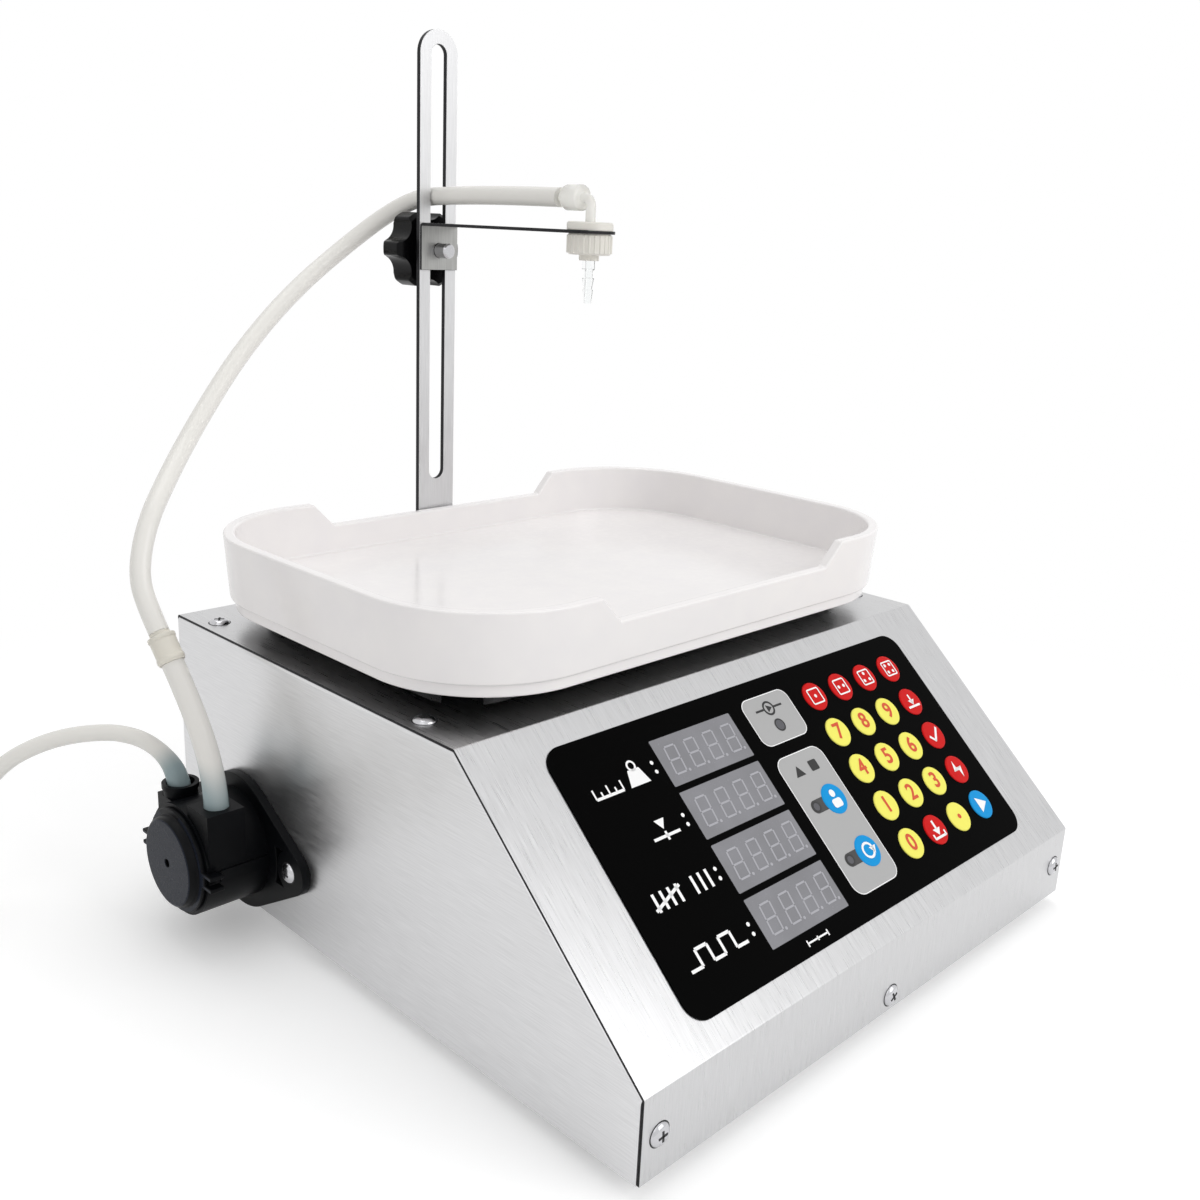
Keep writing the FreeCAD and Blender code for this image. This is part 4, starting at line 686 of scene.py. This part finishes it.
def make_label_pictograms():
    """White signs left of the displays, from the top: a weight by a scale, a mark on a line, a
    tally and a pulse; a white span under them; and black signs in the two grey boxes."""
    white = []
    up = label_up(3)
    white += [shape((34, up - 5), (46, up - 5), (43.4, up + 2.6), (36.6, up + 2.6)),
              disc(40, up + 4.2, 2.6, 1.0), stroke((14, up - 4.4), (30, up - 4.4), 1.3)]
    white += [stroke((x, up - 4.4), (x, up - 4.4 + (4.6 if x % 8 == 6 else 2.6)), 0.9)
              for x in (14, 18, 22, 26, 30)]
    up = label_up(2)
    white += [stroke((30, up - 3), (46, up - 3), 1.3), stroke((38, up - 5), (38, up - 1), 1.3),
              shape((38, up), (41, up + 4.6), (35, up + 4.6))]
    up = label_up(1)
    white += [stroke((x, up - 4), (x, up + 4), 1.5) for x in (14, 18.5, 23, 27.5)]
    white += [stroke((12, up - 3), (29.5, up + 3), 1.4)]
    white += [stroke((x, up - 4), (x, up + 4), 1.5) for x in (37, 41.5, 46)]
    up = label_up(0)
    corners = [(12, up - 3.6), (19, up - 3.6), (19, up + 3.6), (26, up + 3.6), (26, up - 3.6),
               (33, up - 3.6), (33, up + 3.6), (40, up + 3.6), (40, up - 3.6), (47, up - 3.6)]
    white += [stroke(a, b, 1.4) for a, b in zip(corners, corners[1:])]
    white += [stroke((76, 5), (90, 5), 0.8), stroke((76, 3.6), (76, 6.4), 0.8),
              stroke((90, 3.6), (90, 6.4), 0.8), stroke((83, 4), (83, 6), 0.8)]
    print_on("label_pictograms", white, PRINT_WHITE, MARK)
    black = [disc(137.2, 106, 3.9, 1.1), shape((135.9, 104), (139.6, 106), (135.9, 108)),
             stroke((127.5, 106), (133.3, 106), 1.1), stroke((141.1, 106), (147, 106), 1.1)]
    black += [shape((127.5, 70), (134.5, 70), (131, 75.4)), plate(139.5, 70, 145.5, 75.4, 0.8)]
    print_on("box_pictograms", black, PRINT_BLACK, MARK)


KEY_MARK = FILM + 0.68  # just above the keys' tops
KEY_LEFT, KEY_LOW = 172.2, 20
KEY_ACROSS, KEY_UP = 22, 20.85  # steps between the columns and between the rows
RED_KEYS = ("memory_1", "memory_2", "memory_3", "memory_4", "tare", "set", "trigger", "save")
BLUE_KEYS = ("run", "manual", "auto")
MEMORY_DOTS = {"memory_1": [(0, 0)], "memory_2": [(-2, 0), (2, 0)],
               "memory_3": [(-2.2, -1.7), (2.2, -1.7), (0, 2.2)],
               "memory_4": [(-2, -2), (2, -2), (2, 2), (-2, 2)]}
# Column and row of each key
KEYS = {
    "memory_1": (0, 4), "memory_2": (1, 4), "memory_3": (2, 4), "memory_4": (3, 4),
    "7": (0, 3), "8": (1, 3), "9": (2, 3), "tare": (3, 3), "4": (0, 2), "5": (1, 2),
    "6": (2, 2), "set": (3, 2), "1": (0, 1), "2": (1, 1), "3": (2, 1), "trigger": (3, 1),
    "0": (0, 0), "save": (1, 0), "point": (2, 0), "run": (3, 0),
}


def key_place(name):
    """The middle of a key on the panel."""
    if name == "manual":
        return MODE_X, MANUAL_UP
    if name == "auto":
        return MODE_X, AUTO_UP
    column, row = KEYS[name]
    return KEY_LEFT + KEY_ACROSS * column, KEY_LOW + KEY_UP * row


def key_marks(name, x, y):
    """The sign printed on a key, as flat parts about its centre."""
    if name.isdigit():
        return [numeral(name, 11.5, x, y)]
    if name in MEMORY_DOTS:
        return [plate(x - 4.6, y - 4.4, x + 4.6, y + 4.4, 1.2, 0.8)] + [
            disc(x + a, y + b, 0.95, segments=14) for a, b in MEMORY_DOTS[name]]
    if name == "point":
        return [disc(x, y, 1.3)]
    if name == "tare":
        return [stroke((x - 5, y - 3), (x + 5, y - 3), 1.2), stroke((x, y - 1.6), (x, y + 4), 1.2),
                shape((x - 2.6, y + 0.8), (x, y - 2.2), (x + 2.6, y + 0.8))]
    if name == "set":
        return [stroke((x - 4.4, y), (x - 1.2, y - 3.4), 1.4),
                stroke((x - 1.6, y - 3.2), (x + 4.6, y + 3.4), 1.4)]
    if name == "trigger":
        return [shape((x - 1, y + 5), (x - 3.6, y - 0.8), (x - 0.4, y - 0.8)),
                shape((x + 1.1, y - 5), (x + 3.6, y + 0.9), (x + 0.4, y + 0.9)),
                shape((x - 3.6, y - 0.8), (x + 0.4, y - 0.8), (x + 3.6, y + 0.9),
                      (x - 0.4, y + 0.9))]
    if name == "save":
        return [shape((x - 3, y + 0.4), (x, y - 3.2), (x + 3, y + 0.4)),
                stroke((x, y), (x, y + 4.6), 1.5),
                stroke((x - 4.6, y - 4.2), (x + 4.6, y - 4.2), 1.2),
                stroke((x - 4.6, y - 4.6), (x - 4.6, y - 1.8), 1.2),
                stroke((x + 4.6, y - 4.6), (x + 4.6, y - 1.8), 1.2)]
    if name == "run":
        return [shape((x - 2.8, y - 4.2), (x + 4.4, y), (x - 2.8, y + 4.2))]
    if name == "manual":
        return [disc(x, y + 2.6, 1.9), plate(x - 3.3, y - 4.6, x + 3.3, y - 0.2, 1.5)]
    return [disc(x, y, 4.1, 1.2),
            shape((x + 1.2, y + 1.0), (x + 6.0, y + 1.0), (x + 3.6, y - 2.6))]


def make_keys():
    """Each key's cap, red or blue with white ink or yellow with orange, and its sign."""
    for name in list(KEYS) + ["manual", "auto"]:
        colour, ink = KEY_YELLOW, PRINT_ORANGE
        if name in RED_KEYS + BLUE_KEYS:
            colour, ink = KEY_RED if name in RED_KEYS else KEY_BLUE, PRINT_WHITE
        dress("key_" + name, colour, 0.2, 20, 2)
        print_on("key_mark_" + name, key_marks(name, *key_place(name)), ink, KEY_MARK,
                 "button_" + name)


make_displays()
make_prints()
make_label_pictograms()
make_keys()
paint("indicator_lamps", LAMP_DARK)
paint("display_modules", WINDOW_GREY)
paint("keypad_board", BOARD_GREEN)

# Tray, its support and the load cell
dress("weigh_pan", TRAY_WHITE, 1.3, 20, 4)
# The support is black, and its black also stands in part for the shade and dark reflection under
# the tray: partly painted shade
dress("pan_support", SUPPORT_BLACK, 1.0, 40, 3)
paint("load_cell", CELL_ALUMINIUM)
paint("cell_bracket", ZINC_STEEL)
paint("cell_bolts", SCREW_STEEL)

# Column, arm, clamp and nozzle
bar = dress("column_bar", BAR_STEEL, 0.15, 40, 1)
# Painted shade: the bar's side faces and slot walls are coloured nearly black
repaint(bar, PAINTED_EDGE_SHADE, lambda normal, centre: abs(normal.y) < 0.6)
arm = dress("clamp_arm", ARM_STEEL, 0.12, 40, 1)
# Painted shade: the arm's side faces, its tip's end and the underside of its tab are coloured
# nearly black
repaint(arm, PAINTED_EDGE_SHADE, lambda normal, centre: abs(normal.x) > 0.5
        or (centre.y < ARM_TIP and abs(normal.z) < 0.5)
        or (normal.z < -0.5 and centre.z < TAB_FOOT))
paint("clamp_stud", SCREW_STEEL)
dress("clamp_knob", KNOB_BLACK, 0.8, 30, 3)
dress("nozzle_holder", CREAM_NYLON, 0.4, 35, 2)
dress("nozzle_nut", CREAM_NYLON, 0.2, 40, 2)


def make_tip():
    """The clear dispensing tip, with the two barbs of its hose end."""
    tip = lathe([(1.3, 0), (1.9, 0), (2.6, 6.4), (2.1, 6.8), (2.9, 12), (2.2, 12.4), (2.2, 15.5),
                 (3.2, 16.5), (3.2, 20.5), (1.3, 20.5), (1.3, 0)])
    piece = from_bmesh("barbed_tip", moved(tip, at(0, 46, 303.2)), CLEAR_TIP, "carriage")
    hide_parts("nozzle_tip")


make_tip()
dress("nozzle_elbow", ELBOW_NYLON, 0.3, 50, 2)

# Pump
dress("pump_flange", PUMP_BLACK, 0.6, 40, 2)
dress("pump_housing", PUMP_BLACK, 0.5, 40, 2)
cap = dress("pump_cap", PUMP_BLACK, 0.5, 35, 2)
repaint(cap, PUMP_SLATE, lambda normal, centre: normal.x < -0.8
        and math.hypot(centre.y - PUMP_Y, centre.z - PUMP_Z) < 22.5)
paint("pump_rotor", WHITE_NYLON)
for count in (1, 2, 3):
    paint("pump_roller_%d" % count, WHITE_NYLON)
paint("pump_motor", ZINC_STEEL)
paint("pump_tube", HOSE_MILKY)
dress("hose_connector", JOINER_NYLON, 0.3, 30, 2)

# Power
paint("power_inlet", SUPPORT_BLACK)
paint("power_rocker", KNOB_BLACK)
paint("power_supply", SUPPLY_METAL)


# Floor, backdrop and light
def make_floor():
    """White paper under the machine, which takes its shadow."""
    ground, tree, shader = new_material("white_paper_floor", "#F6F6F6", 0.9)
    grain(tree, shader, 6, 0.02, strength=0.1)
    path = add(tree, "LightPath")
    seen = add(tree, "Math", {0: path.outputs["Is Camera Ray"],
                              1: path.outputs["Is Glossy Ray"]}, operation="MAXIMUM")
    # The paper keeps the shadow near the machine and fades to plain white away from it
    away = add(tree, "VectorMath", {0: add(tree, "TexCoord").outputs["Object"],
                                    1: (-0.02, 0, 0)}, operation="DISTANCE")
    far = add(tree, "MapRange", {"Value": away.outputs["Value"], "From Min": 0.3,
                                 "From Max": 0.62}, interpolation_type="SMOOTHSTEP")
    paper = add(tree, "AddShader")
    glow = add(tree, "Emission", {"Color": (1, 1, 1, 1), "Strength": 0.22})
    white = add(tree, "Emission", {"Color": (1, 1, 1, 1), "Strength": 1.0})
    blank = add(tree, "MixShader", {"Fac": far.outputs["Result"]})
    fade = add(tree, "MixShader", {"Fac": seen.outputs["Value"]})
    for source, end in ((shader.outputs["BSDF"], paper.inputs[0]),
                        (glow.outputs["Emission"], paper.inputs[1]),
                        (paper.outputs["Shader"], blank.inputs[1]),
                        (white.outputs["Emission"], blank.inputs[2]),
                        (shader.outputs["BSDF"], fade.inputs[1]),
                        (blank.outputs["Shader"], fade.inputs[2]),
                        (fade.outputs["Shader"], tree.nodes["Material Output"].inputs["Surface"])):
        tree.links.new(source, end)
    work = bmesh.new()
    bmesh.ops.create_grid(work, x_segments=1, y_segments=1, size=6)
    mesh = bpy.data.meshes.new("floor")
    work.to_mesh(mesh)
    work.free()
    mesh.materials.append(ground)
    floor = bpy.data.objects.new("floor", mesh)
    bpy.context.collection.objects.link(floor)


def make_sky():
    """Plain white to the camera and in mirrors, and a softer light on dull surfaces."""
    world = bpy.data.worlds.new("studio")
    world.use_nodes = True
    bpy.context.scene.world = world
    sky = world.node_tree
    background = sky.nodes["Background"]
    path = add(sky, "LightPath")
    through = add(sky, "Math", {0: path.outputs["Is Glossy Ray"],
                                1: path.outputs["Is Transmission Ray"]}, operation="MAXIMUM")
    seen = add(sky, "Math", {0: path.outputs["Is Camera Ray"], 1: through.outputs["Value"]},
               operation="MAXIMUM")
    level = add(sky, "MapRange", {"Value": seen.outputs["Value"], "To Min": 0.62, "To Max": 1.0})
    background.inputs["Color"].default_value = (1, 1, 1, 1)
    sky.links.new(level.outputs["Result"], background.inputs["Strength"])


# Name, place and side in metres, and watts
LAMPS = [("key_panel", (-1.4, -0.6, 1.7), 1.4, 3), ("front_panel", (0.7, -1.9, 1.2), 1.4, 16),
         ("top_panel", (0.3, 0.5, 2.2), 1.6, 12)]


def make_lamps():
    """Square panels of light that face the machine."""
    for name, place, size, power in LAMPS:
        data = bpy.data.lights.new(name, "AREA")
        data.shape = "SQUARE"
        data.size = size
        data.energy = power
        lamp = bpy.data.objects.new(name, data)
        lamp.location = place
        aim = Vector((0, 0, 0.15)) - Vector(place)
        lamp.rotation_euler = aim.to_track_quat("-Z", "Y").to_euler()
        bpy.context.collection.objects.link(lamp)


make_floor()
make_sky()
make_lamps()
bpy.context.scene.view_settings.view_transform = "Standard"
